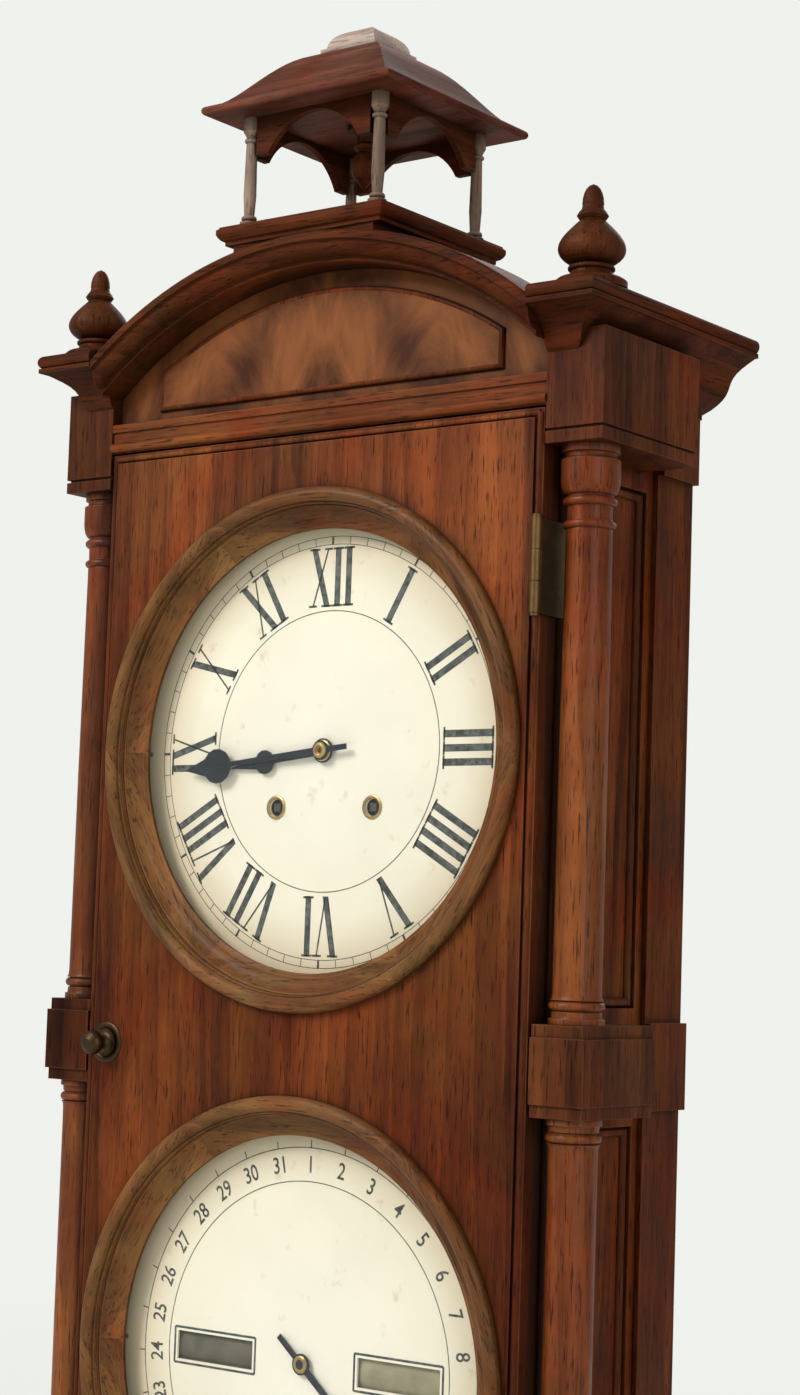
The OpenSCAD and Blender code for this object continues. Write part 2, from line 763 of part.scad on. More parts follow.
module hinge_pins() {
  brass() for (z = z_hinges) translate([hinge_x, hinge_y, z - hinge_h / 2 - 1.2]) {
    cylinder(r = pin_r, h = hinge_h + 2.4);
    for (k = [0, hinge_h + 1.2]) translate([0, 0, k]) cylinder(r = knuckle_r - 0.3, h = 1.2);
  }
}

// Knob, spindle and catch tongue; the tongue stands upright while unlocked
module door_knob() {
  tongue_y = y_carcass + 2.6;
  tongue_t = 1.8;
  brass() {
    facing(y_door, z_mid) translate([knob_x, 0, 0]) {
      translate([0, 0, 0.3]) rotate_extrude($fn = 48) polygon(concat(
        [[0, 0], [knob_r, 0], [knob_r, 1.2]],
        hollow(knob_r - 0.8, 1.2, 2.4, 4.5),
        [for (i = [0:8]) let(a = -50 + i * 17.5)
          [knob_r * 0.9 * cos(a), 8.6 + 4.2 * sin(a)]],
        [[0, 12.8]]
      ));
      translate([0, 0, y_door - tongue_y - tongue_t])
        cylinder(r = 2, h = tongue_y + tongue_t - y_door + 1);
    }
    translate([knob_x - tongue_w / 2, tongue_y, z_mid - tongue_w / 2])
      cube([tongue_w, tongue_t, tongue_l + tongue_w / 2]);
  }
}

// Dials

module dial_board() {
  half = half_w - side_t - 0.3;
  z0 = z_rail0 + rail_h + 1;
  win = window_w + 8;
  arch = 2 * max(day_r, month_r) + 3;
  color([0.45, 0.30, 0.18]) difference() {
    translate([-half, y_board, z0]) cube([2 * half, board_t, z_frieze - 1 - z0]);
    facing(y_board_back + 1, z_time) cylinder(r = 40, h = board_t + 2);
    facing(y_board_back + 1, z_cal) cylinder(r = 9, h = board_t + 2);
    for (s = [-1, 1]) translate([s * window_x - win / 2, y_board - 1, z_cal - arch / 2])
      cube([win, board_t + 2, arch]);
    translate([-half - 1, y_board - 1, z_mid - 16]) cube([knob_x + half + 16, board_t + 2, 32]);
  }
}

module time_dial() {
  paper() facing(y_board, z_time) difference() {
    cylinder(r = dial_r, h = dial_t, $fn = 180);
    translate([0, 0, -1]) cylinder(r = pipe_r + 0.6, h = dial_t + 2);
    for (s = [-1, 1]) translate([s * wind_pos[0], wind_pos[1], -1])
      cylinder(r = 3.6, h = dial_t + 2);
  }
}

module calendar_dial() {
  paper() facing(y_board, z_cal) difference() {
    cylinder(r = dial_r, h = dial_t, $fn = 180);
    translate([0, 0, -1]) cylinder(r = 3, h = dial_t + 2);
    for (s = [-1, 1]) translate([s * window_x - window_w / 2, -window_h / 2, -1])
      cube([window_w, window_h, dial_t + 2]);
  }
}

// Wheels and pinions

// A wheel blank with n pointed teeth of module m; fat is the tooth's share of the pitch
function tooth_ring(n, m, add, ded, fat) = [for (i = [0:n - 1], k = [0:3])
  let(
    r = n * m / 2,
    w = 360 / n * fat,
    a = i * 360 / n + [-w / 2 - 40 / n, -w * 0.26, w * 0.26, w / 2 + 40 / n][k],
    rr = (k == 0 || k == 3) ? r - ded * m : r + add * m
  ) rr * [cos(a), sin(a)]];

module toothed(n, m, h, turn = 0, add = 0.75, ded = 1.05, fat = 0.36) {
  rotate([0, 0, turn]) linear_extrude(h) polygon(tooth_ring(n, m, add, ded, fat));
}

// The openings between the five spokes of a wheel, from its hub to its rim
module crossings(r0, r1, h, spoke = 2.4) {
  difference() {
    translate([0, 0, -1]) cylinder(r = r1, h = h + 2);
    translate([0, 0, -2]) cylinder(r = r0, h = h + 4);
    for (k = [0:4]) rotate([0, 0, k * 72]) translate([0, -spoke / 2, -2])
      cube([r1 + 1, spoke, h + 4]);
  }
}

// The direction from a wheel's centre to the next arbor, where its tooth must meet a gap
function bearing_of(v) = atan2(v[1], v[0]);
centre_turn = bearing_of(third_pos);
third_leaf_turn = centre_turn + 180 + 180 / leaf_n;
third_turn = bearing_of(escape_pos - third_pos);
escape_leaf_turn = third_turn + 180 + 180 / leaf_n;
cannon_turn = 150 + 180 / cannon_n;
minute_turn = 150 + 180;
minute_leaf_turn = 150 + 180 + 180 / minute_leaf_n;
hour_turn = 150;

// Places a wheel at an offset from the time dial's centre, with its front face at depth y
module at(y, pos) {
  facing(y, z_time) translate([pos[0], pos[1], 0]) children();
}

module movement_plates() {
  hole = arbor_r + play;
  lug_h = 6;
  brass() {
    for (y = [y_plate_back, y_rear_face]) difference() {
      at(y, [0, 0]) translate([-plate_w / 2, plate_low, 0])
        cube([plate_w, plate_high - plate_low, plate_t]);
      for (p = [[0, 0], third_pos, escape_pos, verge_pos, hammer_pos])
        at(y + 1, p) cylinder(r = hole, h = plate_t + 2);
      for (s = [-1, 1]) at(y + 1, [s * wind_pos[0], wind_pos[1]])
        cylinder(r = 2.5 + play, h = plate_t + 2);
      for (sx = [-1, 1], sz = [plate_low + 6, plate_high - 6])
        at(y + 1, [sx * (plate_w / 2 - 6), sz]) cylinder(r = 2, h = plate_t + 2);
      for (s = [-1, 1]) at(y + 1, [s * 34, 34]) cylinder(r = 9, h = plate_t + 2);
    }
    at(y_plate + 0.2, minute_pos) cylinder(r = arbor_r, h = 13);
    difference() {
      at(y_plate + 0.2, [lift_pos[0], lift_pos[1]]) translate([-3, -lug_h / 2, 0])
        cube([6, lug_h, y_plate - y_lift + 3.2]);
      translate([lift_pos[0], y_lift, z_time + lift_pos[1] - lug_h])
        cylinder(r = lift_r + play, h = 2 * lug_h);
    }
    difference() {
      at(y_rod + 3.4, verge_pos) {
        translate([-4, 3.5, 0]) cube([8, 6, y_rod + 3.6 - y_rear_face]);
        translate([-4, -3.5, 0]) cube([8, 8, 2]);
      }
      at(y_rod + 4, verge_pos) cylinder(r = 1 + play, h = 5);
    }
  }
}

module movement_pillars() {
  brass() for (sx = [-1, 1], sz = [plate_low + 6, plate_high - 6]) {
    at(y_rear_plate, [sx * (plate_w / 2 - 6), sz]) cylinder(r = 3.2, h = plate_gap);
    at(y_inner, [sx * (plate_w / 2 - 6), sz]) cylinder(r = 3.6, h = y_inner - y_rear_face);
    at(y_inner, [sx * (plate_w / 2 - 6), sz])
      cylinder(r = 2 - seam / 2, h = y_inner - y_plate + 1.2);
  }
}

// Motion work, in front of the front plate

y_motion = y_plate - 3;
module cannon_pinion() {
  brass() difference() {
    union() {
      at(y_motion, [0, 0]) toothed(cannon_n, motion_m, 4, cannon_turn);
      at(y_motion, [0, 0]) cylinder(r = cannon_r, h = y_motion - y_dial + 4.3);
    }
    at(y_motion + 1, [0, 0]) cylinder(r = arbor_r + play, h = y_motion - y_dial + 9);
  }
}

module minute_wheel() {
  brass() difference() {
    union() {
      at(y_motion - 1, minute_pos) toothed(minute_n, motion_m, 2, minute_turn);
      at(y_motion - 1, minute_pos) toothed(minute_leaf_n, hour_m, 6.4, minute_leaf_turn);
    }
    at(y_motion, minute_pos) cylinder(r = arbor_r + play, h = 9);
    at(y_motion - 1, minute_pos) crossings(4.6, 11, 2);
  }
}

module hour_wheel() {
  y = y_motion - 5;
  brass() difference() {
    union() {
      at(y, [0, 0]) toothed(hour_n, hour_m, 2, hour_turn);
      at(y, [0, 0]) cylinder(r = pipe_r, h = y - y_dial + 2.3);
    }
    at(y + 1, [0, 0]) cylinder(r = cannon_r + play, h = y - y_dial + 5);
    at(y, [0, 0]) crossings(5, 12, 2);
  }
}

// Hands: a flat blade on a boss, drawn along +Y and turned to the time at rest

// A tapering blade that opens into a spade between s times its length and its tip
function spade(l, w, s) = concat(
  [[-w / 2, 0], [-w * 0.35, s * l]],
  [for (a = [250:-26:120]) l * [0.1 * cos(a), s + 0.1 + 0.1 * sin(a)]],
  [[0, l]],
  [for (a = [120:26:250]) l * [-0.1 * cos(a), s + 0.1 + 0.1 * sin(a)]],
  [[w * 0.35, s * l], [w / 2, 0]]
);
minute_angle = 44 * 6;
hour_angle = (8 + 44 / 60) * 30;
hand_t = 0.7;
module minute_hand() {
  y = y_dial - 3.4;
  blued() at(y, [0, 0]) difference() {
    rotate([0, 0, -minute_angle]) {
      linear_extrude(hand_t) polygon(spade(minute_l, 3, 0.66));
      cylinder(r = 4.2, h = hand_t);
      translate([-1.2, -14, 0]) cube([2.4, 14, hand_t]);
    }
    translate([0, 0, -1]) cylinder(r = cannon_r, h = 4);
  }
}
module hour_hand() {
  y = y_dial - 1.6;
  blued() at(y, [0, 0]) difference() {
    rotate([0, 0, -hour_angle]) {
      linear_extrude(hand_t) polygon(spade(hour_l, 3.6, 0.52));
      cylinder(r = 5.2, h = hand_t);
    }
    translate([0, 0, -1]) cylinder(r = pipe_r, h = 4);
  }
}

// Going train, between the plates

module centre_wheel() {
  brass() {
    at(y_plate_back + 5, [0, 0]) difference() {
      toothed(centre_n, centre_m, 1.6, centre_turn);
      crossings(5, 26, 1.6, 3);
    }
    at(y_rear_face + 0.6, [0, 0]) cylinder(r = arbor_r, h = y_rear_face + 3 - y_dial);
    at(y_plate_back + 8, [0, 0]) cylinder(r = 3, h = 6);
  }
}

module third_wheel() {
  brass() {
    at(y_plate_back + 6, third_pos) toothed(leaf_n, centre_m, 4, third_leaf_turn,
      0.6, 0.95, 0.3);
    at(y_plate_back + 17, third_pos) difference() {
      toothed(third_n, third_m, 1.6, third_turn);
      crossings(4, 18, 1.6);
    }
    at(y_rear_face + 0.6, third_pos)
      cylinder(r = arbor_r, h = plate_gap + 2 * plate_t + 1.2);
  }
}

// Thirty-six raked teeth
module escape_wheel() {
  n = 36;
  brass() {
    at(y_plate_back + 18, escape_pos) toothed(leaf_n, third_m, 4, escape_leaf_turn,
      0.6, 0.95, 0.3);
    at(y_plate_back + 28, escape_pos) difference() {
      linear_extrude(1.4) polygon([for (i = [0:n - 1], k = [0:2])
        let(a = i * 360 / n + [0, 1.5, 8][k]) (k == 0 ? escape_r : (k == 1 ? escape_r - 0.1
          : escape_r - 2.6)) * [cos(a), sin(a)]]);
      crossings(3.6, 12.6, 1.4);
    }
    at(y_rear_face + 0.6, escape_pos)
      cylinder(r = arbor_r, h = plate_gap + 2 * plate_t + 1.2);
  }
}

// Pallet arch, arbor, and the crutch whose fork holds the pendulum rod
module verge() {
  reach = 1.6;
  dz = verge_pos[1] - escape_pos[1];
  steel() {
    at(y_plate_back + pallet_y, verge_pos) difference() {
      union() {
        translate([0, -dz, 0]) difference() {
          cylinder(r = escape_r + reach + 3.4, h = 2.4);
          translate([0, 0, -1]) cylinder(r = escape_r + reach, h = 5);
          translate([-40, -40, -1]) cube([80, 40 + escape_r * 0.72, 5]);
        }
        cylinder(r = 3.4, h = 2.4);
        translate([-1.8, -4.6, 0]) cube([3.6, 4.6, 2.4]);
      }
    }
    at(y_rear_face + 2.4, verge_pos)
      cylinder(r = arbor_r, h = plate_gap + 2 * plate_t + 3);
    at(y_rear_face + 2.4, verge_pos) {
      cylinder(r = 2.6, h = 1.4);
      translate([-0.8, -crutch_l, 0]) cube([1.6, crutch_l, 1.2]);
      for (s = [-1, 1]) translate([s * (1.6 + clear) - 0.5, -crutch_l - 3.5, -5])
        cube([1, 4, 6.2]);
      translate([-2.1 - clear, -crutch_l - 1, 0]) cube([4.2 + 2 * clear, 1.5, 1.2]);
    }
  }
}

// Pivot pin, suspension strip, rod with the bob on it, and the rating nut
module pendulum() {
  bob_z = -pendulum_l;
  brass() {
    at(y_rod + 3.2, verge_pos) cylinder(r = 1, h = 4.4);
    at(y_rod + 0.5, verge_pos) translate([-1.3, -strip_l, 0]) cube([2.6, strip_l, 1]);
    at(y_rod, verge_pos) translate([0, bob_z - bob_r - 9, 0]) rotate([-90, 0, 0])
      cylinder(r = 1.1, h = pendulum_l + bob_r + 9 - 14);
    at(y_rod, verge_pos) translate([0, bob_z - bob_r - 3.5, 0]) rotate([-90, 0, 0])
      cylinder(r = 3.4, h = 3.4);
  }
  brass() difference() {
    at(y_rod, verge_pos) translate([0, bob_z, 0]) rotate_extrude($fn = 72)
      polygon([
        [0, -bob_t / 2], [bob_r * 0.55, -bob_t / 2 + 0.5], [bob_r - 3, -2.3], [bob_r, -1.5],
        [bob_r, 1.5], [bob_r - 3, 2.3], [bob_r * 0.55, bob_t / 2 - 0.5], [0, bob_t / 2]
      ]);
    at(y_rod, verge_pos) translate([0, bob_z - bob_r - 1, 0]) rotate([-90, 0, 0])
      cylinder(r = 1.1 + seam, h = 2 * bob_r + 2);
  }
}

// Winding arbor with its ratchet and coiled mainspring, and a square end for the key
module winding_arbor(s) {
  p = [s * wind_pos[0], wind_pos[1]];
  spring_r = 19;
  spring_l = plate_gap / 2 - 1;
  steel() {
    at(y_rear_face + 0.8, p) cylinder(r = 2.5, h = y_rear_face + 0.8 - y_board_back + 1);
    at(y_board_back, p) translate([-1.75, -1.75, 0]) cube([3.5, 3.5, board_t + 0.4]);
    at(y_rear_plate - 2.5, p) linear_extrude(1.6) polygon([for (i = [0:17], k = [0:1])
      let(a = s * i * 20 + (k == 0 ? 0 : s * 3)) (k == 0 ? 9 : 7.4) * [cos(a), sin(a)]]);
    at(y_rear_plate - 6, p) {
      difference() {
        cylinder(r = spring_r, h = spring_l);
        translate([0, 0, -1]) cylinder(r = spring_r - 9, h = spring_l + 2);
      }
      translate([0, -1, 2]) cube([spring_r - 8, 2, spring_l - 4]);
    }
  }
}
module winding_arbor_time() { winding_arbor(1); }
module winding_arbor_strike() { winding_arbor(-1); }

// Strike: the hammer hangs beside the gong, which is wound from one wire

hammer_l = 138;
hammer_x = hammer_pos[0];
module hammer() {
  head_l = 13;
  head_x = gong_pos[0] + gong_r + gong_wire + 0.7 - hammer_x;
  steel() {
    at(y_rear_face + 0.6, hammer_pos) cylinder(r = arbor_r, h = plate_gap + 2 * plate_t + 1.2);
    at(y_gong + 1, hammer_pos) cylinder(r = 3, h = 4);
    at(y_gong, hammer_pos) translate([0, -hammer_l, 0]) rotate([-90, 0, 0])
      cylinder(r = 1, h = hammer_l - 1);
    at(y_gong, hammer_pos) translate([head_x, -hammer_l, 0]) rotate([0, 90, 0])
      cylinder(r = 4.5, h = head_l);
  }
}

// Half turns of wire, each on its own centre, so that the coil opens out evenly
gong_turns = 7;
gong_eye = 8;
gong_step = (gong_r - gong_eye) / gong_turns;
module gong() {
  steel() {
    at(y_gong, gong_pos) for (k = [0:gong_turns - 1]) rotate([0, 0, k * 180])
      translate([-gong_step / 2, 0, 0]) rotate_extrude(angle = 180, $fn = 96)
        translate([gong_eye + (k + 0.5) * gong_step, 0]) circle(r = gong_wire, $fn = 24);
    at(y_inner, gong_pos) {
      cylinder(r = 6, h = y_inner - y_gong + 4);
      cylinder(r = gong_foot, h = 4);
      translate([0, -2, y_inner - y_gong - 2]) cube([gong_eye + 0.6, 4, 4]);
    }
  }
}

// Calendar works

module roller(s, y, r) {
  hub = 2.4;
  translate([s * window_x, y, z_cal]) rotate([0, 90, 0]) {
    translate([0, 0, -roller_l / 2]) cylinder(r = r, h = roller_l, $fn = 96);
    translate([0, 0, -roller_l / 2 - 1]) cylinder(r = 4, h = roller_l + 2);
    translate([0, 0, -roller_l / 2 - hub - cheek_t]) cylinder(r = axle_r, h = roller_l + 2 * (hub + cheek_t));
  }
}
module day_roller() { color([0.2, 0.17, 0.14]) roller(-1, y_day, day_r); }
module month_roller() { color([0.2, 0.17, 0.14]) roller(1, y_month, month_r); }

// Base strips behind the dial board with a pair of cheeks for each roller
module calendar_bracket() {
  base_t = 1.6;
  gap = roller_l / 2 + 2;
  bar_x = window_x - gap;
  steel() {
    for (s = [-1, 1], e = [-1, 1]) difference() {
      y_axle = s < 0 ? y_day : y_month;
      translate([s * window_x + e * (gap + cheek_t / 2) - cheek_t / 2, y_board_back, z_cal - 6])
        cube([cheek_t, y_axle + 6 - y_board_back, 12]);
      translate([s * window_x + e * (gap + cheek_t / 2) - cheek_t, y_axle, z_cal])
        rotate([0, 90, 0]) cylinder(r = axle_r + play, h = 2 * cheek_t);
    }
    difference() {
      translate([-bar_x - 0.1, y_board_back, z_cal - 14]) cube([2 * bar_x + 0.2, base_t, 28]);
      facing(y_board_back + base_t + 1, z_cal) cylinder(r = shaft_r + play, h = base_t + 2);
    }
    for (s = [-1, 1]) translate([s > 0 ? window_x + gap : -window_x - gap - cheek_t - 8,
      y_board_back, z_cal - 6]) cube([cheek_t + 8, base_t, 12]);
    difference() {
      translate([lift_pos[0] - 3, y_board_back, z_cal + guide_z])
        cube([6, y_lift + 3 - y_board_back, 5]);
      translate([lift_pos[0], y_lift, z_cal + guide_z - 3])
        cylinder(r = lift_r + play, h = 12);
    }
  }
}

calendar_angle = 130;
module calendar_hand() {
  y = y_dial - 1.6;
  n = 31;
  blued() facing(y, z_cal) rotate([0, 0, -calendar_angle]) {
    linear_extrude(hand_t) polygon(spade(calendar_l, 3, 0.7));
    cylinder(r = 4.4, h = hand_t);
    translate([-1.2, -hand_tail, 0]) cube([2.4, hand_tail, hand_t]);
  }
  blued() facing(y, z_cal) cylinder(r = 2, h = 1.4);
  brass() facing(y_board_back + 6, z_cal) {
    cylinder(r = shaft_r, h = y_board_back + 6 - y_dial + 2);
    linear_extrude(1.4) polygon([for (i = [0:n - 1], k = [0:1])
      let(a = (i + k * 0.12) * 360 / n) (k == 0 ? 14 : 12.2) * [cos(a), sin(a)]]);
  }
}

// Wire from the movement's lifting lug down to the calendar, with a hook at its foot
module lift_rod() {
  z0 = z_cal + guide_z - lift_stroke - 2;
  z1 = z_time + lift_pos[1] + 14;
  steel() translate([lift_pos[0], y_lift, 0]) {
    translate([0, 0, z0]) cylinder(r = lift_r, h = z1 - z0);
    translate([0, 0, z1]) cylinder(r = 2.2, h = 2);
    translate([-3.4, -1, z0 - 2]) cube([4.4, 2, 2.2]);
  }
}

plinth_boards();
base_slab();
base_moulding();
base_rail();
column_pedestals();
side_left();
side_right();
rear_pilasters();
back_board();
column_lower_left();
column_lower_right();
mid_blocks();
column_upper_left();
column_upper_right();
capital_blocks();
cornice_mouldings();
cornice_slab();
frieze_rail();
tympanum();
arch_hood();
canopy_platform();
canopy_posts();
canopy_valances();
canopy_roof();
canopy_cap();
canopy_pendant();
finials();
dial_board();
time_dial();
calendar_dial();
movement_plates();
movement_pillars();
gong();
hinge_case_leaves();
hinge_pins();
calendar_bracket();
door_frame();
dial_ring_upper();
dial_ring_lower();
glass_upper();
glass_lower();
hinge_door_leaves();
door_knob();
cannon_pinion();
minute_hand();
minute_wheel();
hour_wheel();
hour_hand();
centre_wheel();
third_wheel();
escape_wheel();
verge();
pendulum();
winding_arbor_time();
winding_arbor_strike();
hammer();
calendar_hand();
day_roller();
month_roller();
lift_rod();
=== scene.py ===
import math

import bmesh
import bpy
import numpy as np
from mathutils import Matrix, Vector


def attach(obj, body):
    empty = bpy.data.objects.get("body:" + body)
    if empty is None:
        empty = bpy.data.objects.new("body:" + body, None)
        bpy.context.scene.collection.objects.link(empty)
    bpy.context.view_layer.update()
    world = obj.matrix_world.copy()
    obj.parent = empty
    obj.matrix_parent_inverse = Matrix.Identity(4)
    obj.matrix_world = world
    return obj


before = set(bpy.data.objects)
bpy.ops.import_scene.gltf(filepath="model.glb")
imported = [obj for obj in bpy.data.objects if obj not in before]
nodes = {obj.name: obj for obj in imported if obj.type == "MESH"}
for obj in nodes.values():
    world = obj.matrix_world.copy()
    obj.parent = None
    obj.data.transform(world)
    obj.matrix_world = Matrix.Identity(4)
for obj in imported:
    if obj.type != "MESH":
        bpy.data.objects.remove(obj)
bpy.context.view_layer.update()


# Camera
# A long lens right of the clock, at the height of its middle, tilted up and rolled a little,
# so that the pediment is seen from below and the right side shows.
yaw, pitch, roll = math.radians(37.27), math.radians(5.28), math.radians(1.91)
eye = (0.6956, -0.8929, 0.4173)
ahead = Vector((-math.sin(yaw) * math.cos(pitch), math.cos(yaw) * math.cos(pitch),
                math.sin(pitch)))
level = Vector((math.cos(yaw), math.sin(yaw), 0))
above = level.cross(ahead)
aside = math.cos(roll) * level + math.sin(roll) * above
upright = -math.sin(roll) * level + math.cos(roll) * above
camera = bpy.data.objects.new("camera", bpy.data.cameras.new("camera"))
camera.matrix_world = Matrix.Translation(eye) @ Matrix(
    (aside, upright, -ahead)).transposed().to_4x4()
camera.data.lens = 67.68
camera.data.sensor_width = 36
camera.data.clip_start = 0.05
bpy.context.scene.collection.objects.link(camera)
bpy.context.scene.camera = camera


# Floor and light
# A pale floor that keeps the clock's shadow, a broad lamp from the front left, a weaker one
# from the right and one from behind, and an even pale surround that shows behind the clock.
def shader(tree, kind, inputs=None, **settings):
    """A node of that kind, with its settings, its input values and its incoming links."""
    made = tree.nodes.new("ShaderNode" + kind)
    for key, value in settings.items():
        setattr(made, key, value)
    for key, value in (inputs or {}).items():
        if isinstance(value, bpy.types.NodeSocket):
            tree.links.new(value, made.inputs[key])
        else:
            made.inputs[key].default_value = value
    return made


def blank(name):
    """A material with an empty node tree and its output."""
    material = bpy.data.materials.new(name)
    material.use_nodes = True
    material.node_tree.nodes.clear()
    return material, material.node_tree, shader(material.node_tree, "OutputMaterial")


def maths(tree, operation, *values):
    """The result of a sum on numbers and on outputs of other nodes."""
    return shader(tree, "Math", dict(enumerate(values)), operation=operation).outputs[0]


def own_place(tree):
    """Where a point lies on its own piece, in metres."""
    return shader(tree, "TexCoord").outputs["Object"]


def length(tree, vector):
    """How far a place is from the origin."""
    return shader(tree, "VectorMath", {0: vector}, operation="LENGTH").outputs["Value"]


def seen_directly(tree):
    """1 for rays from the camera and through glass, 0 for reflected and scattered ones."""
    path = shader(tree, "LightPath")
    return maths(tree, "MAXIMUM", path.outputs["Is Camera Ray"],
                 path.outputs["Is Transmission Ray"])


pale = (0.865, 0.885, 0.845, 1)
world = bpy.data.worlds.new("surround")
world.use_nodes = True
air = world.node_tree
air.nodes.clear()
backdrop = shader(air, "Background", {"Color": pale, "Strength": 1})
skylight = shader(air, "Background", {"Color": (1, 0.98, 0.95, 1), "Strength": 0.45})
either = shader(air, "MixShader", {0: seen_directly(air), 1: skylight.outputs[0],
                                   2: backdrop.outputs[0]})
air.links.new(either.outputs[0], shader(air, "OutputWorld").inputs[0])
bpy.context.scene.world = world
bpy.context.scene.view_settings.view_transform = "Standard"

floor_mesh = bpy.data.meshes.new("floor")
reach = 12.0
floor_mesh.from_pydata([(-reach, -reach, 0), (reach, -reach, 0), (reach, reach, 0),
                        (-reach, reach, 0)], [], [(0, 1, 2, 3)])
floor = bpy.data.objects.new("floor", floor_mesh)
bpy.context.scene.collection.objects.link(floor)
floor_paint, tree, out = blank("pale_floor")
matt = shader(tree, "BsdfDiffuse", {"Color": (0.84, 0.85, 0.82, 1)})
glow = shader(tree, "Emission", {"Color": pale, "Strength": 1})
remote = shader(tree, "MapRange", {"Value": length(tree, own_place(tree)), "From Min": 0.5,
                                   "From Max": 2.2, "To Min": 0.35, "To Max": 1.0},
                interpolation_type="SMOOTHSTEP")
glowing = maths(tree, "MULTIPLY", seen_directly(tree), remote.outputs[0])
mixed = shader(tree, "MixShader", {0: glowing, 1: matt.outputs[0], 2: glow.outputs[0]})
tree.links.new(mixed.outputs[0], out.inputs[0])
floor_mesh.materials.append(floor_paint)


def lamp(name, place, target, size, power, colour):
    """A square area lamp at a place, facing a target."""
    light = bpy.data.lights.new(name, "AREA")
    light.size, light.energy, light.color = size, power, colour
    made = bpy.data.objects.new(name, light)
    made.location = place
    made.rotation_euler = (Vector(target) - Vector(place)).to_track_quat("-Z", "Y").to_euler()
    bpy.context.scene.collection.objects.link(made)


lamp("key", (-0.9, -2.0, 2.0), (0, 0, 0.5), 1.1, 58, (1, 0.96, 0.91))
lamp("fill", (2.4, -1.2, 0.9), (0, 0, 0.45), 1.6, 18, (1, 0.96, 0.92))
lamp("rim", (-0.6, 2.2, 1.8), (0, 0, 0.5), 1.4, 22, (1, 1, 1))


# Walnut of the case
# Old walnut boards and mouldings, glued up, stained red brown and varnished: growth lines
# and pores run along each board, and patches have faded. The left end of the left centre
# block is painted dark, as painted shade, and the door is painted paler towards the top
# and darker low, as painted light.
stretch = {"x": (0.07, 1, 1), "y": (1, 0.07, 1), "z": (1, 1, 0.07)}


def ramp(tree, value, stops):
    """A colour ramp over a value; the stops are (place, grey or colour)."""
    made = shader(tree, "ValToRGB", {0: value})
    while len(made.color_ramp.elements) < len(stops):
        made.color_ramp.elements.new(0.5)
    for element, (place, colour) in zip(made.color_ramp.elements, stops):
        element.position = place
        element.color = (*colour, 1) if isinstance(colour, tuple) else (colour,) * 3 + (1,)
    return made.outputs[0]


def blend(tree, share, first, second, mode="MIX"):
    """Two colours mixed by a share, in one of the mix modes."""
    made = tree.nodes.new("ShaderNodeMix")
    made.data_type, made.blend_type = "RGBA", mode
    for key, value in ((0, share), (6, first), (7, second)):
        if isinstance(value, bpy.types.NodeSocket):
            tree.links.new(value, made.inputs[key])
        elif key == 0:
            made.inputs[key].default_value = value
        else:
            made.inputs[key].default_value = (*value, 1)
    return made.outputs[2]


def xyz(tree, vector):
    """The three numbers of a vector."""
    return shader(tree, "SeparateXYZ", {0: vector}).outputs


def facing(tree):
    """The direction that the surface faces."""
    return shader(tree, "NewGeometry").outputs["Normal"]


def mapped(tree, vector, **inputs):
    """A vector scaled, then turned, then moved."""
    return shader(tree, "Mapping", {"Vector": vector, **inputs}).outputs[0]


def noise(tree, place, scale, detail, roughness=0.5, distortion=0.0):
    """Clouds of grey over a place."""
    return shader(tree, "TexNoise", {
        "Vector": place, "Scale": scale, "Detail": detail, "Roughness": roughness,
        "Distortion": distortion}).outputs["Fac"]


def arris(tree, radius):
    """(softened normal, mask that is 1 on outer arrises), from the rounded normal."""
    soft = shader(tree, "Bevel", {"Radius": radius}, samples=6)
    turn = shader(tree, "VectorMath", {0: soft.outputs[0], 1: facing(tree)},
                  operation="DOT_PRODUCT")
    return soft.outputs[0], ramp(tree, turn.outputs["Value"], [(0.90, 1.0), (0.995, 0.0)])


def grimed_and_shaded(tree, colour, grime_and_shade, stops):
    """Darker corners, dirt and painted shade, as much as a ramp over their openness says."""
    corner = shader(tree, "AmbientOcclusion", {"Distance": 0.014}, samples=6)
    return blend(tree, ramp(tree, corner.outputs["AO"], stops), colour, grime_and_shade)


def coat(tree, out, inputs):
    """A surface with those inputs, joined to the material's output."""
    tree.links.new(shader(tree, "BsdfPrincipled", inputs).outputs[0], out.inputs[0])


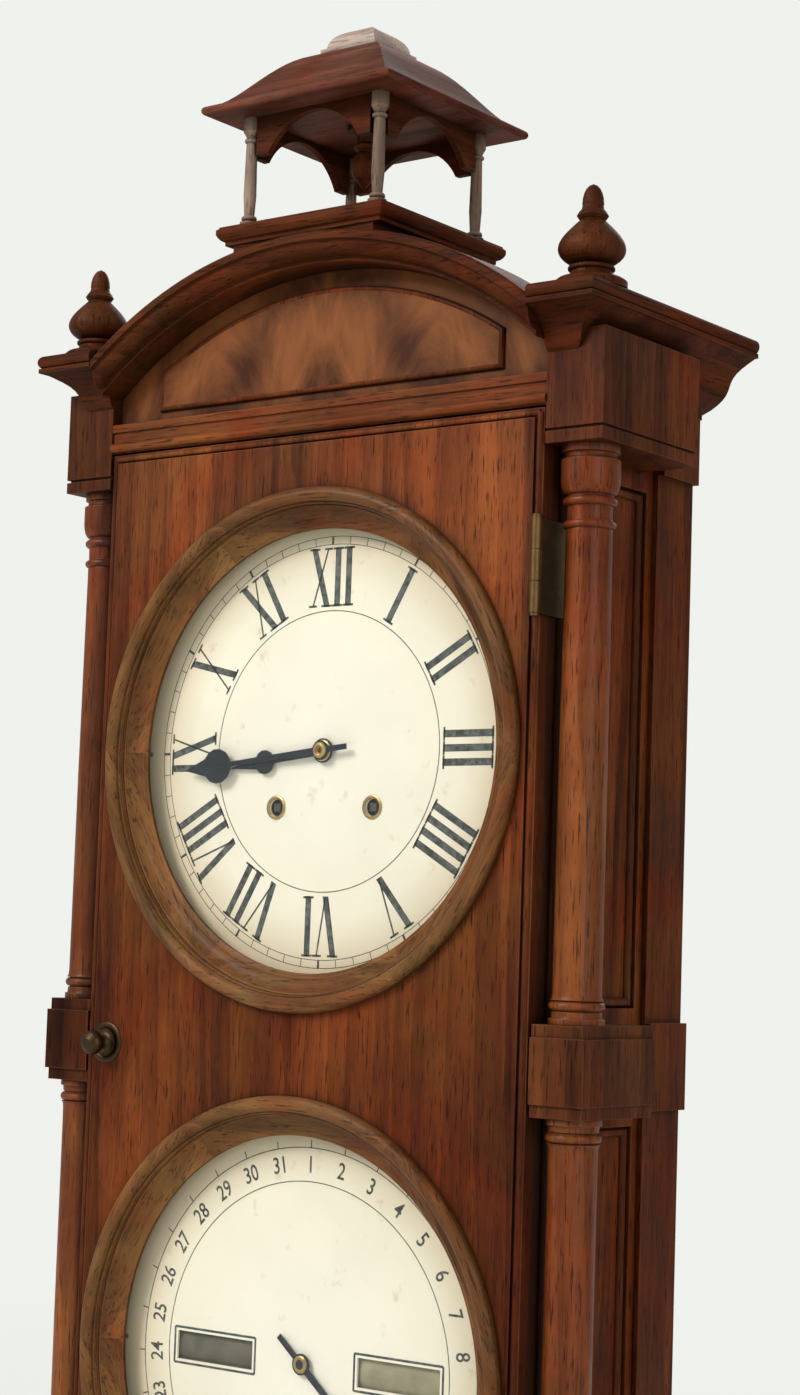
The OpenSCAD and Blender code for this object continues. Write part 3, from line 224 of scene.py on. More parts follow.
def timber(name, grain, dark, light, gloss=0.50, figure=1.0, turned_ends=False, shift=0.0,
           sheen=0.09, pith=(0.05, 0.09), dust=0.40, hue=1.0, lay=None, light_and_shade_run=None):
    """Wood: growth rings about a pith line that runs askew to the board, broad soft bands
    and fine streaks, all stretched along the grain, with short dark pores, slow patches of
    fading and of redder and yellower colour, pale arrises that are partly wear and partly
    painted highlight, corners darkened by dirt and painted shade, and a thin dust on the
    faces that look up. With turned_ends, faces that look sideways belong to boards that
    run back. With lay, a function of the node tree and the place, the wood is laid as that
    function says. The last argument, an axis, two places on it and two tints, paints light
    and shade that run from the one tint to the other."""
    material, tree, out = blank(name)
    place = own_place(tree)
    laid = lay(tree, place) if lay else place
    scale = stretch[grain]
    if turned_ends:
        lean = maths(tree, "ABSOLUTE", xyz(tree, facing(tree))[0])
        scale = blend(tree, maths(tree, "GREATER_THAN", lean, 0.6), stretch["x"],
                      stretch["y"])
    askew, pith_place = (0.62, 0.35, 0), (*pith, 0)
    if grain == "x":
        askew, pith_place = (0, 0.35, 0.62), (0, *pith)
    along = mapped(tree, laid, Scale=scale, Location=(shift, shift * 0.7, shift * 1.3))
    about = mapped(tree, laid, Scale=scale, Rotation=askew, Location=pith_place)
    rings = shader(tree, "TexWave", {
        "Vector": about, "Scale": 26 * figure, "Distortion": 11, "Detail": 3,
        "Detail Scale": 0.8, "Detail Roughness": 0.6}, wave_type="RINGS",
        rings_direction=grain.upper(), wave_profile="SAW").outputs["Fac"]
    broad = noise(tree, along, scale=24 * figure, detail=4, roughness=0.55, distortion=1.4)
    streaks = noise(tree, along, scale=240, detail=7, roughness=0.66, distortion=0.5)
    pores = noise(tree, along, scale=1100, detail=2, roughness=0.7)
    patches = noise(tree, place, scale=13, detail=5, roughness=0.62, distortion=0.6)
    drift = noise(tree, place, scale=14, detail=3, distortion=1.2)

    tone = maths(tree, "MULTIPLY", broad, 0.66)
    tone = maths(tree, "MULTIPLY_ADD", rings, 0.10, tone)
    tone = maths(tree, "MULTIPLY_ADD", streaks, 0.42, tone)
    between = tuple(0.58 * d + 0.42 * l for d, l in zip(dark, light))
    colour = ramp(tree, tone, [(0.38, dark), (0.57, between), (0.78, light)])
    colour = blend(tree, ramp(tree, pores, [(0.34, 0.8), (0.43, 0.0)]), colour,
                   tuple(0.4 * d for d in dark))
    colour = blend(tree, hue, colour, ramp(tree, drift, [
        (0.32, (1.10, 0.78, 0.55)), (0.50, (1.0, 1.0, 1.0)), (0.68, (1.02, 1.28, 1.20))]),
        "MULTIPLY")
    colour = blend(tree, 1.0, colour, ramp(tree, patches, [(0.34, 0.60), (0.66, 1.06)]),
                   "MULTIPLY")
    if light_and_shade_run:
        axis, start, stop, first_tint, last_tint = light_and_shade_run
        shade_to_light = shader(tree, "MapRange", {"Value": xyz(tree, place)[axis], "From Min": start,
                                         "From Max": stop})
        colour = blend(tree, 1.0, colour, ramp(tree, shade_to_light.outputs[0], [
            (0.0, first_tint), (1.0, last_tint)]), "MULTIPLY")
    soft, edge = arris(tree, 0.0007)
    # Pale outer arrises: partly wear, partly a painted highlight along the edges.
    rubbed = maths(tree, "MULTIPLY", edge, ramp(tree, patches, [(0.40, 0.10), (0.60, 0.55)]))
    colour = blend(tree, rubbed, colour, tuple(1.3 * l + 0.02 for l in light))
    # Dirt and painted shade: shut-in corners are darkened nearly to black.
    colour = grimed_and_shaded(tree, colour, (0.010, 0.004, 0.0015), [(0.35, 0.8), (0.85, 0.0)])
    lying = maths(tree, "MULTIPLY",
                  ramp(tree, xyz(tree, facing(tree))[2], [(0.80, 0.0), (0.97, dust)]),
                  ramp(tree, patches, [(0.30, 0.4), (0.65, 1.0)]))
    colour = blend(tree, lying, colour, (0.30, 0.150, 0.075))

    dents = shader(tree, "Bump", {"Height": streaks, "Strength": 0.12, "Distance": 0.0005,
                                  "Normal": soft})
    shine = shader(tree, "MapRange", {"Value": patches, "From Min": 0.3, "From Max": 0.7,
                                      "To Min": gloss - 0.08, "To Max": gloss + 0.12})
    coat(tree, out, {"Base Color": colour, "Roughness": shine.outputs[0],
                     "Normal": dents.outputs[0], "Specular IOR Level": sheen})
    return material


def paint(material, *names):
    """The material takes the place of the plain one on those CAD nodes."""
    for name in names:
        nodes[name].data.materials.clear()
        nodes[name].data.materials.append(material)


left_to_right, upwards = 0, 2
# Painted light: the door runs darker low and lighter, paler towards the top.
paint(timber("walnut_door", "z", (0.042, 0.0080, 0.0013), (0.245, 0.062, 0.0140), shift=0.12,
             pith=(0.02, 0.06),
             light_and_shade_run=(upwards, 0.40, 0.64, (0.80, 0.72, 0.60), (1.20, 1.32, 1.45))),
      "door_frame")
upright_walnut = timber("walnut_upright", "z", (0.037, 0.0080, 0.0015),
                        (0.215, 0.052, 0.0120), shift=0.27, sheen=0.07)
paint(upright_walnut, "side_left", "side_right", "rear_pilasters")
paint(timber("walnut_long", "x", (0.044, 0.009, 0.0016), (0.235, 0.063, 0.015),
             turned_ends=True), "base_moulding", "base_rail", "frieze_rail")
# A darker copy of the long walnut; on the canopy's valances it is painted shade.
paint(timber("walnut_dark_long", "x", (0.024, 0.006, 0.0016), (0.135, 0.034, 0.0088),
             gloss=0.60, turned_ends=True, shift=0.31, sheen=0.06),
      "plinth_boards", "base_slab", "cornice_slab", "arch_hood", "cornice_mouldings",
      "canopy_platform", "canopy_valances")
block_wood = dict(grain="z", dark=(0.026, 0.0065, 0.0018), light=(0.165, 0.045, 0.0130),
                  shift=0.57, sheen=0.07)
dark_upright = timber("walnut_dark_upright", **block_wood)
paint(dark_upright, "column_pedestals", "capital_blocks", "canopy_pendant", "finials")
# Painted shade: the left end of the left centre block is darkened to about a third.
paint(timber("walnut_block_painted_shade", **block_wood,
             light_and_shade_run=(left_to_right, -0.134, -0.118, (0.30, 0.27, 0.25), (1.0, 1.0, 1.0))),
      "mid_blocks")


# Columns
# Walnut turned in four lengths that stand between the blocks, redder and glossier than the
# case, since hands and dusters have kept them polished.
paint(timber("walnut_turned", "z", (0.045, 0.0092, 0.0018), (0.265, 0.068, 0.0155),
             gloss=0.36, figure=1.3, shift=0.71, sheen=0.17, pith=(0.13, 0.03)),
      "column_lower_left", "column_lower_right", "column_upper_left", "column_upper_right")


# Canopy roof, cap and posts
# Small pieces of walnut glued on top. The roof boards have kept a purplish stain; the cap
# and the thin turned posts are painted pale, as painted light.
paint(timber("walnut_roof", "x", (0.068, 0.019, 0.010), (0.245, 0.085, 0.052), gloss=0.58,
             turned_ends=True, shift=0.83, sheen=0.07, dust=0.1), "canopy_roof")
# Painted light: the posts and the cap are given pale colours that stand for light on them.
paint(timber("walnut_posts_painted_light", "z", (0.14, 0.094, 0.068), (0.37, 0.28, 0.22), gloss=0.6,
             shift=0.19, hue=0.4), "canopy_posts")
paint(timber("walnut_cap_painted_light", "x", (0.36, 0.27, 0.225), (0.78, 0.65, 0.58), gloss=0.6,
             shift=0.19, dust=0.1, hue=0.3), "canopy_cap")


# Tympanum
# A board under the arch, faced with two sheets of figured veneer opened like a book, so that
# the swirls mirror each other about the middle, and bordered by a small walnut bead.
def booked_veneer(name, dark, light):
    """Wood whose pattern is read at the distance from the middle, so that left mirrors
    right, with a swirling figure that leans."""
    material, tree, out = blank(name)
    x, y, z = xyz(tree, own_place(tree))
    folded = shader(tree, "CombineXYZ", {0: maths(tree, "ABSOLUTE", x), 1: y, 2: z})
    leaned = mapped(tree, folded.outputs[0], Rotation=(0, math.radians(38), 0),
                    Scale=(0.6, 1, 0.30))
    swirl = noise(tree, leaned, scale=48, detail=8, roughness=0.66, distortion=2.2)
    flame = shader(tree, "TexWave", {"Vector": leaned, "Scale": 16, "Distortion": 12,
                                     "Detail": 4, "Detail Scale": 1.2}).outputs["Fac"]
    between = tuple(0.55 * d + 0.45 * l for d, l in zip(dark, light))
    colour = ramp(tree, maths(tree, "MULTIPLY_ADD", flame, 0.28, swirl),
                  [(0.40, dark), (0.62, between), (0.86, light)])
    # Dirt and painted shade in the veneer's shut-in corners.
    colour = grimed_and_shaded(tree, colour, (0.02, 0.010, 0.006), [(0.3, 0.7), (0.8, 0.0)])
    coat(tree, out, {"Base Color": colour, "Roughness": 0.48,
                     "Normal": arris(tree, 0.0006)[0], "Specular IOR Level": 0.1})
    return material


paint(booked_veneer("veneer_booked", (0.046, 0.012, 0.0030), (0.200, 0.067, 0.019)),
      "tympanum")


def to_object(name, points, faces, body, material, smooth=True):
    """A mesh object from points and faces, with its normals outwards, riding on a body."""
    mesh = bpy.data.meshes.new(name)
    mesh.from_pydata(np.asarray(points).reshape(-1, 3).tolist(), [],
                     np.asarray(faces).tolist())
    work = bmesh.new()
    work.from_mesh(mesh)
    bmesh.ops.remove_doubles(work, verts=work.verts, dist=1e-7)
    bmesh.ops.recalc_face_normals(work, faces=work.faces)
    work.to_mesh(mesh)
    work.free()
    mesh.polygons.foreach_set("use_smooth", [smooth] * len(mesh.polygons))
    made = bpy.data.objects.new(name, mesh)
    bpy.context.scene.collection.objects.link(made)
    if smooth:
        mesh.set_sharp_from_angle(angle=math.radians(35))
    mesh.materials.append(material)
    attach(made, body)


def net(rows, columns, closed=True):
    """The four-sided faces of a grid of points, each row joined to the next and, where the
    grid is closed, the last row and column to the first."""
    r = np.arange(rows if closed else rows - 1)[:, None]
    c = np.arange(columns if closed else columns - 1)[None, :]
    r1, c1 = (r + 1) % rows, (c + 1) % columns
    return np.stack([r * columns + c, r * columns + c1, r1 * columns + c1,
                     r1 * columns + c], -1).reshape(-1, 4)


def round_bead(width, height):
    """A closed profile of (outward, forward) pairs, half an ellipse and its flat back:
    outward is half the width times the cosine, forward the height times the sine."""
    a = np.linspace(0, math.pi, 8)
    return np.stack([width / 2 * np.cos(a), height * np.sin(a)], 1)


def beaded(outline, profile):
    """A profile carried round a closed flat outline: each point is the corner plus outward
    times the mitre, the sum of the two edge normals over one plus their product."""
    edge = np.roll(outline, -1, 0) - outline
    normal = np.stack([edge[:, 1], -edge[:, 0]], 1)
    normal /= np.linalg.norm(normal, axis=1, keepdims=True)
    before = np.roll(normal, 1, 0)
    mitre = (normal + before) / (1 + (normal * before).sum(1, keepdims=True))
    flat = outline[:, None] + profile[None, :, :1] * mitre[:, None]
    rise = np.broadcast_to(profile[None, :, 1:], flat.shape[:2] + (1,))
    return np.concatenate([flat, rise], 2)


def to_front(points, y):
    """(across, up, forward) becomes (x, y - forward, z)."""
    return np.stack([points[..., 0], y - points[..., 2], points[..., 1]], -1)


panel_half, panel_foot, panel_face = 0.092, 0.650, -0.0392
arch_centre, arch_radius = 0.5227, 0.1692
arch_end = math.acos(panel_half / arch_radius)
sweep = np.linspace(arch_end, math.pi - arch_end, 60)
outline = np.concatenate([
    np.stack([arch_radius * np.cos(sweep), arch_centre + arch_radius * np.sin(sweep)], 1),
    [(-panel_half, panel_foot), (panel_half, panel_foot)]])
grid = beaded(outline, round_bead(0.003, 0.0016))
to_object("tympanum_bead", to_front(grid, panel_face), net(*grid.shape[:2]), "case",
          upright_walnut)


# Side panels
# Two sunk panels in each walnut side, each bordered by a small bead that is planed in
# lengths, mitred at the corners and glued in.
def to_right(points, x):
    """(back, up, outward) becomes (x + outward, y, z)."""
    return np.stack([x + points[..., 2], points[..., 0], points[..., 1]], -1)


panel_front, panel_back = -0.0185, 0.032
panel_heights = {"lower": (0.130, 0.3445), "upper": (0.3925, 0.607)}
bead_width, bead_rise, bead_inset, panel_x = 0.004, 0.0022, 0.0022, 0.115
for side, name in ((1, "right"), (-1, "left")):
    for part, (bottom, top) in panel_heights.items():
        outline = np.array([(panel_front, bottom), (panel_back, bottom), (panel_back, top),
                            (panel_front, top)])
        grid = beaded(outline, round_bead(bead_width, bead_rise) - (bead_inset, 0))
        to_object(f"side_panel_bead_{name}_{part}", to_right(grid, panel_x) * (side, 1, 1),
                  net(*grid.shape[:2]), "case", dark_upright)


# Dial rings
# Two round walnut frames let into the door, each glued up from six segments and turned,
# browner than the door, with a paler bead that is partly wear and partly painted highlight.
time_z, date_z = 0.496, 0.241


def in_segments(middle_z):
    """Wood laid as six straight pieces round a middle. Along a piece is the distance from
    the middle times the sine of the turn from the piece's own middle. Across it is that
    distance times the cosine, plus a step for each piece, so that no two look alike."""
    def lay(tree, place):
        centred = mapped(tree, place, Location=(0, 0, -middle_z))
        x, y, z = xyz(tree, centred)
        sixths = maths(tree, "MULTIPLY", maths(tree, "ARCTAN2", z, x), 3 / math.pi)
        piece = maths(tree, "FLOOR", sixths)
        flat = shader(tree, "VectorMath", {0: centred, 1: (1, 0, 1)}, operation="MULTIPLY")
        away = length(tree, flat.outputs[0])
        turn = maths(tree, "SUBTRACT", sixths, maths(tree, "ADD", piece, 0.5))
        bend = maths(tree, "MULTIPLY", turn, math.pi / 3)
        run = maths(tree, "MULTIPLY", maths(tree, "SINE", bend), away)
        across = maths(tree, "MULTIPLY", maths(tree, "COSINE", bend), away)
        stepped = maths(tree, "MULTIPLY_ADD", piece, 0.37, across)
        return shader(tree, "CombineXYZ", {0: stepped, 1: y, 2: run}).outputs[0]
    return lay


for middle_z, part in ((time_z, "upper"), (date_z, "lower")):
    paint(timber(f"walnut_ring_{part}", "z", (0.052, 0.019, 0.0047), (0.265, 0.108, 0.033),
                 gloss=0.42, shift=0.44, sheen=0.14, lay=in_segments(middle_z)),
          f"dial_ring_{part}")


# Glasses
# Thin old sheet glass, cut round and held in each ring's rebate: clear, with a faint green
# cast and a slight reflection.
material, tree, out = blank("sheet_glass")
coat(tree, out, {"Base Color": (0.30, 0.36, 0.32, 1), "Roughness": 0.03, "IOR": 1.5,
                 "Alpha": 0.05, "Specular IOR Level": 0.8})
paint(material, "glass_upper", "glass_lower")


# Dial papers
# Printed paper on two thin round sheets, pinned to the dial board: cream that turns darker
# and browner towards the rim, with foxing.
def dial_paper(name, middle_z):
    """Paper: cream, darker with the distance from the dial's middle in decimetres, with
    small spots."""
    material, tree, out = blank(name)
    place = own_place(tree)
    centred = mapped(tree, place, Location=(0, 0, -middle_z), Scale=(1, 0, 1))
    decimetres = maths(tree, "MULTIPLY", length(tree, centred), 10.0)
    colour = ramp(tree, decimetres, [(0.0, (0.885, 0.87, 0.755)),
                                     (0.72, (0.87, 0.835, 0.685)),
                                     (0.96, (0.70, 0.58, 0.38))])
    fox = noise(tree, place, scale=95, detail=5, roughness=0.65)
    colour = blend(tree, ramp(tree, fox, [(0.62, 0.0), (0.74, 0.35)]), colour,
                   (0.42, 0.27, 0.12))
    cloud = noise(tree, place, scale=22, detail=3)
    colour = blend(tree, 0.35, colour, ramp(tree, cloud, [(0.3, 0.82), (0.7, 1.06)]),
                   "MULTIPLY")
    fibre = noise(tree, place, scale=1500, detail=2)
    tooth = shader(tree, "Bump", {"Height": fibre, "Strength": 0.15, "Distance": 0.0002})
    coat(tree, out, {"Base Color": colour, "Roughness": 0.75, "Normal": tooth.outputs[0],
                     "Specular IOR Level": 0.2})
    return material


paint(dial_paper("paper_time", time_z), "time_dial")
paint(dial_paper("paper_date", date_z), "calendar_dial")


# Printing of the time dial
# Black ink on the paper: radial Roman hours between two circles, and a stroke for each
# minute between the outer circle and one more.
dial_face, ink_rise = -0.0295, 0.00006
ink, tree, out = blank("printers_ink")
worn_off = noise(tree, own_place(tree), scale=420, detail=4)
coat(tree, out, {"Base Color": ramp(tree, worn_off, [(0.35, (0.022, 0.026, 0.026)),
                                                     (0.66, (0.115, 0.125, 0.120))]),
                 "Roughness": 0.7, "Specular IOR Level": 0.2})


def slabs(quads, rise):
    """Each flat four-sided shape becomes a thin block, rise high."""
    quads = np.asarray(quads, float)
    count = len(quads)
    level0 = np.concatenate([quads, np.zeros((count, 4, 1))], 2)
    level1 = np.concatenate([quads, np.full((count, 4, 1), rise)], 2)
    points = np.concatenate([level0, level1], 1).reshape(-1, 3)
    block = np.array([(3, 2, 1, 0), (4, 5, 6, 7), (0, 1, 5, 4), (1, 2, 6, 5), (2, 3, 7, 6),
                      (3, 0, 4, 7)])
    return points, (block[None] + 8 * np.arange(count)[:, None, None]).reshape(-1, 4)


def bar(left, bottom, right, top):
    """The corners of an upright four-sided shape."""
    return [(left, bottom), (right, bottom), (right, top), (left, top)]


def stroke(foot, head, width):
    """One stroke of a letter, from its foot on the line to its head one unit up."""
    half = width / 2
    return [(foot - half, 0), (foot + half, 0), (head + half, 1), (head - half, 1)]


def serif(x, y, half):
    """A thin bar across the end of a stroke."""
    return bar(x - half, y - 0.018, x + half, y + 0.018)


def letters(word):
    """Strokes of a Roman number one unit high, thick and thin as cut with a broad pen."""
    thick, thin, low, high = 0.13, 0.035, 0.02, 0.98
    shapes, x = [], 0.0
    for letter in word:
        if letter == "I":
            shapes += [stroke(x + 0.12, x + 0.12, thick), serif(x + 0.12, low, 0.12),
                       serif(x + 0.12, high, 0.12)]
            x += 0.25
        elif letter == "V":
            shapes += [stroke(x + 0.29, x + 0.08, thick), stroke(x + 0.29, x + 0.46, thin),
                       serif(x + 0.09, high, 0.12), serif(x + 0.45, high, 0.10)]
            x += 0.56
        else:
            shapes += [stroke(x + 0.43, x + 0.10, thick), stroke(x + 0.10, x + 0.43, thin),
                       serif(x + 0.11, high, 0.12), serif(x + 0.43, high, 0.09),
                       serif(x + 0.10, low, 0.09), serif(x + 0.42, low, 0.12)]
            x += 0.54
    return np.array(shapes) - (x / 2, 0)


def turned_by(points, angle):
    """Flat points turned clockwise by an angle."""
    c, s = math.cos(angle), math.sin(angle)
    return points @ np.array([[c, -s], [s, c]])


def ring_quads(inner, outer):
    """A flat ring as four-sided pieces: across is the radius times the sine of the angle,
    up the radius times its cosine."""
    a = np.linspace(0, 2 * math.pi, 120, endpoint=False)
    spoke = np.stack([np.sin(a), np.cos(a)], 1)
    after = np.roll(spoke, -1, 0)
    return np.stack([spoke * inner, after * inner, after * outer, spoke * outer], 1)


def strokes_round(count, inner, outer, width):
    """Radial strokes at equal angles."""
    one = np.array(bar(-width / 2, inner, width / 2, outer))
    return np.array([turned_by(one, 2 * math.pi * k / count) for k in range(count)])


hours = ["XII", "I", "II", "III", "IIII", "V", "VI", "VII", "VIII", "IX", "X", "XI"]
letter_size, letter_foot = (0.0235, 0.0255), 0.0615
numerals = [turned_by(letters(word) * letter_size + (0, letter_foot), math.pi / 6 * k)
            for k, word in enumerate(hours)]
print_quads = np.concatenate(numerals + [
    ring_quads(0.0596, 0.0600), ring_quads(0.0882, 0.0885), ring_quads(0.0916, 0.0919),
    strokes_round(60, 0.0884, 0.0917, 0.00035), strokes_round(12, 0.0882, 0.0919, 0.0011)])
points, faces = slabs(print_quads, ink_rise)
to_object("time_dial_print", to_front(points + (0, time_z, 0), dial_face), faces, "case",
          ink, smooth=False)


# Printing of the calendar dial
# The same ink: thirty-one day numbers round the rim between two circles, a stroke outside
# them for each day, and a rule round each window.
def figures(text, size):
    """(points, faces) of a printed number, centred on its own middle, laid flat."""
    curve = bpy.data.curves.new("figure", "FONT")
    curve.body, curve.size, curve.align_x, curve.align_y = text, size, "CENTER", "CENTER"
    curve.extrude, curve.offset = ink_rise / 2, 0.00011
    curve.resolution_u = 3
    drawn = bpy.data.objects.new("figure", curve)
    bpy.context.scene.collection.objects.link(drawn)
    mesh = bpy.data.meshes.new_from_object(
        drawn.evaluated_get(bpy.context.evaluated_depsgraph_get()))
    points = np.empty((len(mesh.vertices), 3), np.float32)
    mesh.vertices.foreach_get("co", points.ravel())
    faces = [list(polygon.vertices) for polygon in mesh.polygons]
    bpy.data.objects.remove(drawn)
    bpy.data.curves.remove(curve)
    bpy.data.meshes.remove(mesh)
    return points + (0, 0, ink_rise / 2), faces


days, number_size, number_radius, narrowed = 31, 0.0098, 0.0815, (0.82, 1)
all_points, all_faces, start = [], [], 0
for day in range(days):
    points, faces = figures(str(day + 1), number_size)
    flat = turned_by(points[:, :2] * narrowed + (0, number_radius), 2 * math.pi * day / days)
    all_points.append(np.concatenate([flat, points[:, 2:]], 1))
    all_faces += [[i + start for i in face] for face in faces]
    start += len(points)
window_x, window_half, window_rise, rule = 0.049, 0.0225, 0.0075, 0.0005
frames = []
for x in (-window_x, window_x):
    frames += [bar(x - window_half, s * window_rise - rule, x + window_half,
                   s * window_rise + rule) for s in (-1, 1)]
    frames += [bar(x + s * window_half - rule, -window_rise, x + s * window_half + rule,
                   window_rise) for s in (-1, 1)]
quads, quad_faces = slabs(np.concatenate([
    ring_quads(0.0745, 0.0749), ring_quads(0.0885, 0.0889),
    strokes_round(days, 0.0889, 0.0918, 0.0005), np.array(frames)]), ink_rise)
all_points.append(quads)
all_faces += (quad_faces + start).tolist()
points = np.concatenate(all_points)
mesh = bpy.data.meshes.new("calendar_dial_print")
mesh.from_pydata(to_front(points + (0, date_z, 0), dial_face).tolist(), [], all_faces)
date_print = bpy.data.objects.new("calendar_dial_print", mesh)
bpy.context.scene.collection.objects.link(date_print)
mesh.materials.append(ink)
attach(date_print, "case")


# Metal of the movement and the fittings
# Cast and sheet brass gone dull, dark oiled steel, and hands blued by heat. The hinges are
# tarnished, and the turned brass knob is bronzed almost black.
def metal(name, colour, dull, rough):
    """Metal: a base colour clouded by tarnish, with fine scratches in its roughness."""
    material, tree, out = blank(name)
    place = own_place(tree)
    cloud = noise(tree, place, scale=60, detail=6, roughness=0.6)
    tarnish = ramp(tree, cloud, [(0.38, 0.0), (0.70, 0.70)])
    scratch = noise(tree, place, scale=900, detail=3)
    rubbed = shader(tree, "MapRange", {"Value": scratch, "From Min": 0.3, "From Max": 0.7,
                                       "To Min": rough - 0.07, "To Max": rough + 0.10})
    coat(tree, out, {"Base Color": blend(tree, tarnish, colour, dull), "Metallic": 1.0,
                     "Roughness": rubbed.outputs[0], "Normal": arris(tree, 0.0003)[0]})
    return material


brass = metal("old_brass", (0.60, 0.42, 0.17), (0.22, 0.13, 0.05), 0.34)
iron = metal("dark_iron", (0.12, 0.115, 0.11), (0.06, 0.042, 0.032), 0.50)
blued = metal("blued_steel", (0.040, 0.045, 0.075), (0.020, 0.018, 0.020), 0.32)
tarnished = metal("tarnished_brass", (0.17, 0.105, 0.042), (0.050, 0.030, 0.014), 0.46)
bronzed = metal("bronzed_brass", (0.070, 0.044, 0.021), (0.020, 0.014, 0.010), 0.44)
paint(tarnished, "hinge_case_leaves", "hinge_pins", "hinge_door_leaves")
paint(bronzed, "door_knob")
paint(brass, "movement_plates", "movement_pillars", "cannon_pinion", "minute_wheel",
      "hour_wheel", "centre_wheel", "third_wheel", "escape_wheel", "pendulum")
paint(iron, "gong", "calendar_bracket", "verge", "winding_arbor_time",
      "winding_arbor_strike", "hammer", "lift_rod")
paint(blued, "minute_hand", "hour_hand", "calendar_hand")


# Hand nuts and winding ferrules
# A turned brass collet on each hand, and a pressed brass ring in each winding hole of the
# dial.
def turned_piece(name, profile, x, z, y, body, material):
    """A turned brass shape facing the front, from a profile of (radius, forward) pairs in
    millimetres: across is the radius times the sine of the angle about the forward axis,
    up the radius times its cosine."""
    radius, forward = np.array(profile).T / 1000
    a = np.linspace(0, 2 * math.pi, 48, endpoint=False)[:, None]
    grid = np.stack([radius * np.sin(a), radius * np.cos(a), forward + 0 * a], -1)
    to_object(name, to_front(grid + (x, z, 0), y), net(*grid.shape[:2]), body,
              material)


minute_hand_y, lower_hand_y = -0.0336, -0.0318
turned_piece("minute_collet", [(2.02, 0.0), (3.4, 0.0), (3.4, 0.35), (2.9, 0.8), (2.02, 0.9)],
             0, time_z, minute_hand_y, "minute", brass)
turned_piece("hour_collet", [(3.12, 0.0), (4.6, 0.0), (4.6, 0.3), (4.0, 0.7), (3.12, 0.75)],
             0, time_z, lower_hand_y, "hour", brass)
turned_piece("calendar_collet", [(2.02, 0.0), (3.6, 0.0), (3.6, 0.3), (3.0, 0.65),
                                 (2.02, 0.7)], 0, date_z, lower_hand_y, "calendar", brass)
winding_x, winding_z = 0.026, time_z - 0.024
for x, name in ((winding_x, "time"), (-winding_x, "strike")):
    turned_piece(f"winding_ferrule_{name}",
                 [(3.65, 0.0), (5.2, 0.0), (5.1, 0.35), (4.5, 0.6), (3.9, 0.5), (3.65, 0.2)],
                 x, winding_z, dial_face, "case", brass)


# Door knob's rosette
# A thin pressed brass plate round the knob's spindle, held by the door and bronzed like the
# knob.
knob_x, knob_z, door_face = -0.105, 0.3685, -0.0450
turned_piece("knob_rosette", [(6.4, 0.0), (9.0, 0.0), (8.9, 0.35), (8.2, 0.75), (7.0, 0.8),
                              (6.4, 0.5)], knob_x, knob_z, door_face, "door", bronzed)


# Screws and pins
# Slotted screws hold the hinges, the dial board and the back board, and small brass pins
# hold the two sheets of the dials.
def slotted_head(radius, rise, groove):
    """(across, up, forward) points and three-sided faces of a head. Each half of a low dome
    is four rows of points: across is the radius times a share that falls row by row times
    the cosine, up is the same with the sine but never less than the groove. One half is
    turned half round, and both stand on one thin disc."""
    start = math.asin(groove / radius)
    a = np.linspace(start, math.pi - start, 9)
    share, height = np.array([(1, 0), (0.97, 0.55), (0.80, 0.90), (0, 1)]).T[:, :, None]
    dome = np.stack([radius * share * np.cos(a), np.maximum(radius * share * np.sin(a), groove),
                     rise * height + 0 * a], -1)
    rows, columns = dome.shape[:2]
    dome = dome.reshape(-1, 3)
    first = columns * np.arange(rows - 1)
    last = first + columns - 1
    wall = np.stack([first, first + columns, last + columns, last], 1)
    quads = np.concatenate([net(rows, columns, closed=False), wall])
    half = np.concatenate([quads[:, :3], quads[:, [0, 2, 3]]])
    rim = np.linspace(0, 2 * math.pi, 20, endpoint=False)
    disc = np.stack([0.96 * radius * np.cos(rim), 0.96 * radius * np.sin(rim),
                     0.25 * rise + 0 * rim], 1)
    k = np.arange(1, len(rim) - 1)
    fan = np.stack([0 * k, k, k + 1], 1)
    return (np.concatenate([dome, dome * (-1, -1, 1), disc]),
            np.concatenate([half, half + len(dome), fan + 2 * len(dome)]))


def fasteners(name, places, lay, face, radius, rise, groove, material):
    """Heads at (across, up) places on a face of the case, each with its groove turned 0.9
    further than the last."""
    points, faces = slotted_head(radius, rise, groove)
    heads = [np.concatenate([turned_by(points[:, :2], 0.9 * k + 0.4) + place, points[:, 2:]],
                            1) for k, place in enumerate(places)]
    to_object(name, lay(np.concatenate(heads), face),
              np.concatenate([faces + k * len(points) for k in range(len(heads))]), "case",
              material)


def to_rear(points, y):
    """(across, up, forward) becomes (-x, y + forward, z), seen from behind."""
    return np.stack([-points[..., 0], y + points[..., 2], points[..., 1]], -1)


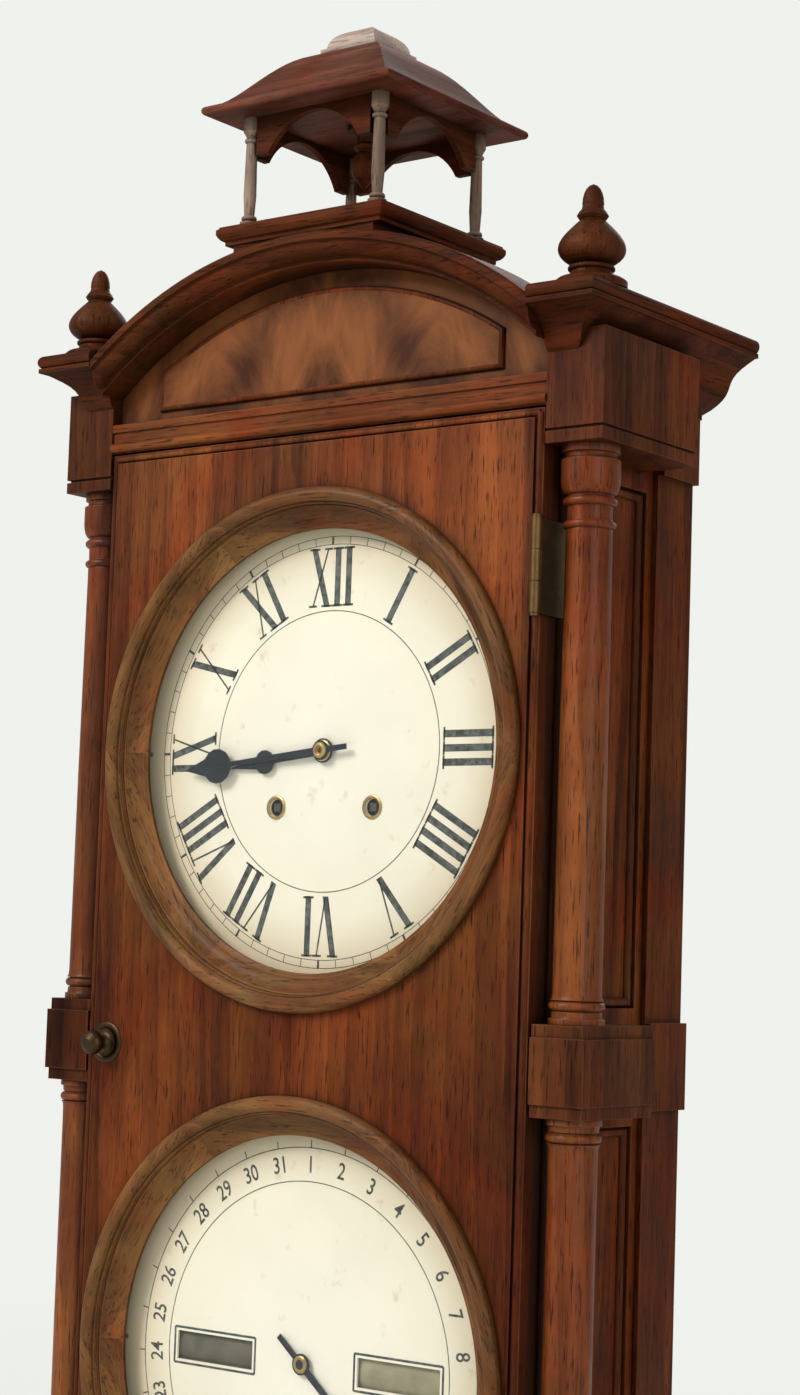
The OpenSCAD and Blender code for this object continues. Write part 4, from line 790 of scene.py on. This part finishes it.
leaf_face, back_face, dial_board_face = 0.118, 0.065, -0.0285
hinge_heights, pin_radius = (0.171, 0.566), 0.0995
hinge_places = [(y, z + dz) for z in hinge_heights
                for y, dz in ((-0.024, -0.012), (-0.016, 0.0), (-0.024, 0.012))]
fasteners("hinge_screws", hinge_places, to_right, leaf_face, 0.0021, 0.0005, 0.00035,
          tarnished)
fasteners("back_board_screws", [(s * 0.1125, z) for s in (-1, 1)
                                for z in (0.080, 0.225, 0.370, 0.515, 0.657)],
          to_rear, back_face, 0.0030, 0.0007, 0.00045, iron)
fasteners("dial_board_screws", [(s * 0.1045, z) for s in (-1, 1)
                                for z in (0.113, 0.335, 0.402, 0.624)],
          to_front, dial_board_face, 0.0024, 0.0005, 0.0004, iron)
for middle_z, part in ((time_z, "time"), (date_z, "date")):
    pins = [(pin_radius * math.sin(a), middle_z + pin_radius * math.cos(a))
            for a in np.radians([30, 90, 150, 210, 270, 330])]
    fasteners(f"dial_pins_{part}", pins, to_front, dial_face, 0.0011, 0.0004, 0.00001,
              brass)


# Rollers of the calendar
# Wooden drums under dark varnished paper, one behind each window of the calendar dial, ruled
# off into one facet for each name.
def drum_paper(name, axis_y, count, dark, light):
    """Aged paper with a pale rule at each division of the turn about the drum's axis."""
    material, tree, out = blank(name)
    place = own_place(tree)
    _, back, up = xyz(tree, mapped(tree, place, Location=(0, -axis_y, -date_z)))
    turns = maths(tree, "MULTIPLY", maths(tree, "ARCTAN2", up, back), count / (2 * math.pi))
    line = ramp(tree, maths(tree, "FRACT", turns), [(0.0, 0.8), (0.03, 0.0)])
    body = ramp(tree, noise(tree, place, scale=120, detail=5), [(0.3, dark), (0.7, light)])
    coat(tree, out, {"Base Color": blend(tree, line, body, (0.32, 0.27, 0.18)),
                     "Roughness": 0.6})
    return material


paint(drum_paper("drum_paper_days", -0.0139, 7, (0.06, 0.05, 0.035), (0.13, 0.11, 0.075)),
      "day_roller")
paint(drum_paper("drum_paper_months", -0.0089, 12, (0.20, 0.185, 0.11), (0.34, 0.31, 0.20)),
      "month_roller")


# Softwood of the back and the dial board
# Bare pine, planed, screwed into the case from behind and from the front, and darkened by
# age.
paint(timber("pine_bare", "z", (0.17, 0.09, 0.04), (0.42, 0.27, 0.14), gloss=0.7,
             figure=0.6, shift=0.9, hue=0.2), "back_board", "dial_board")
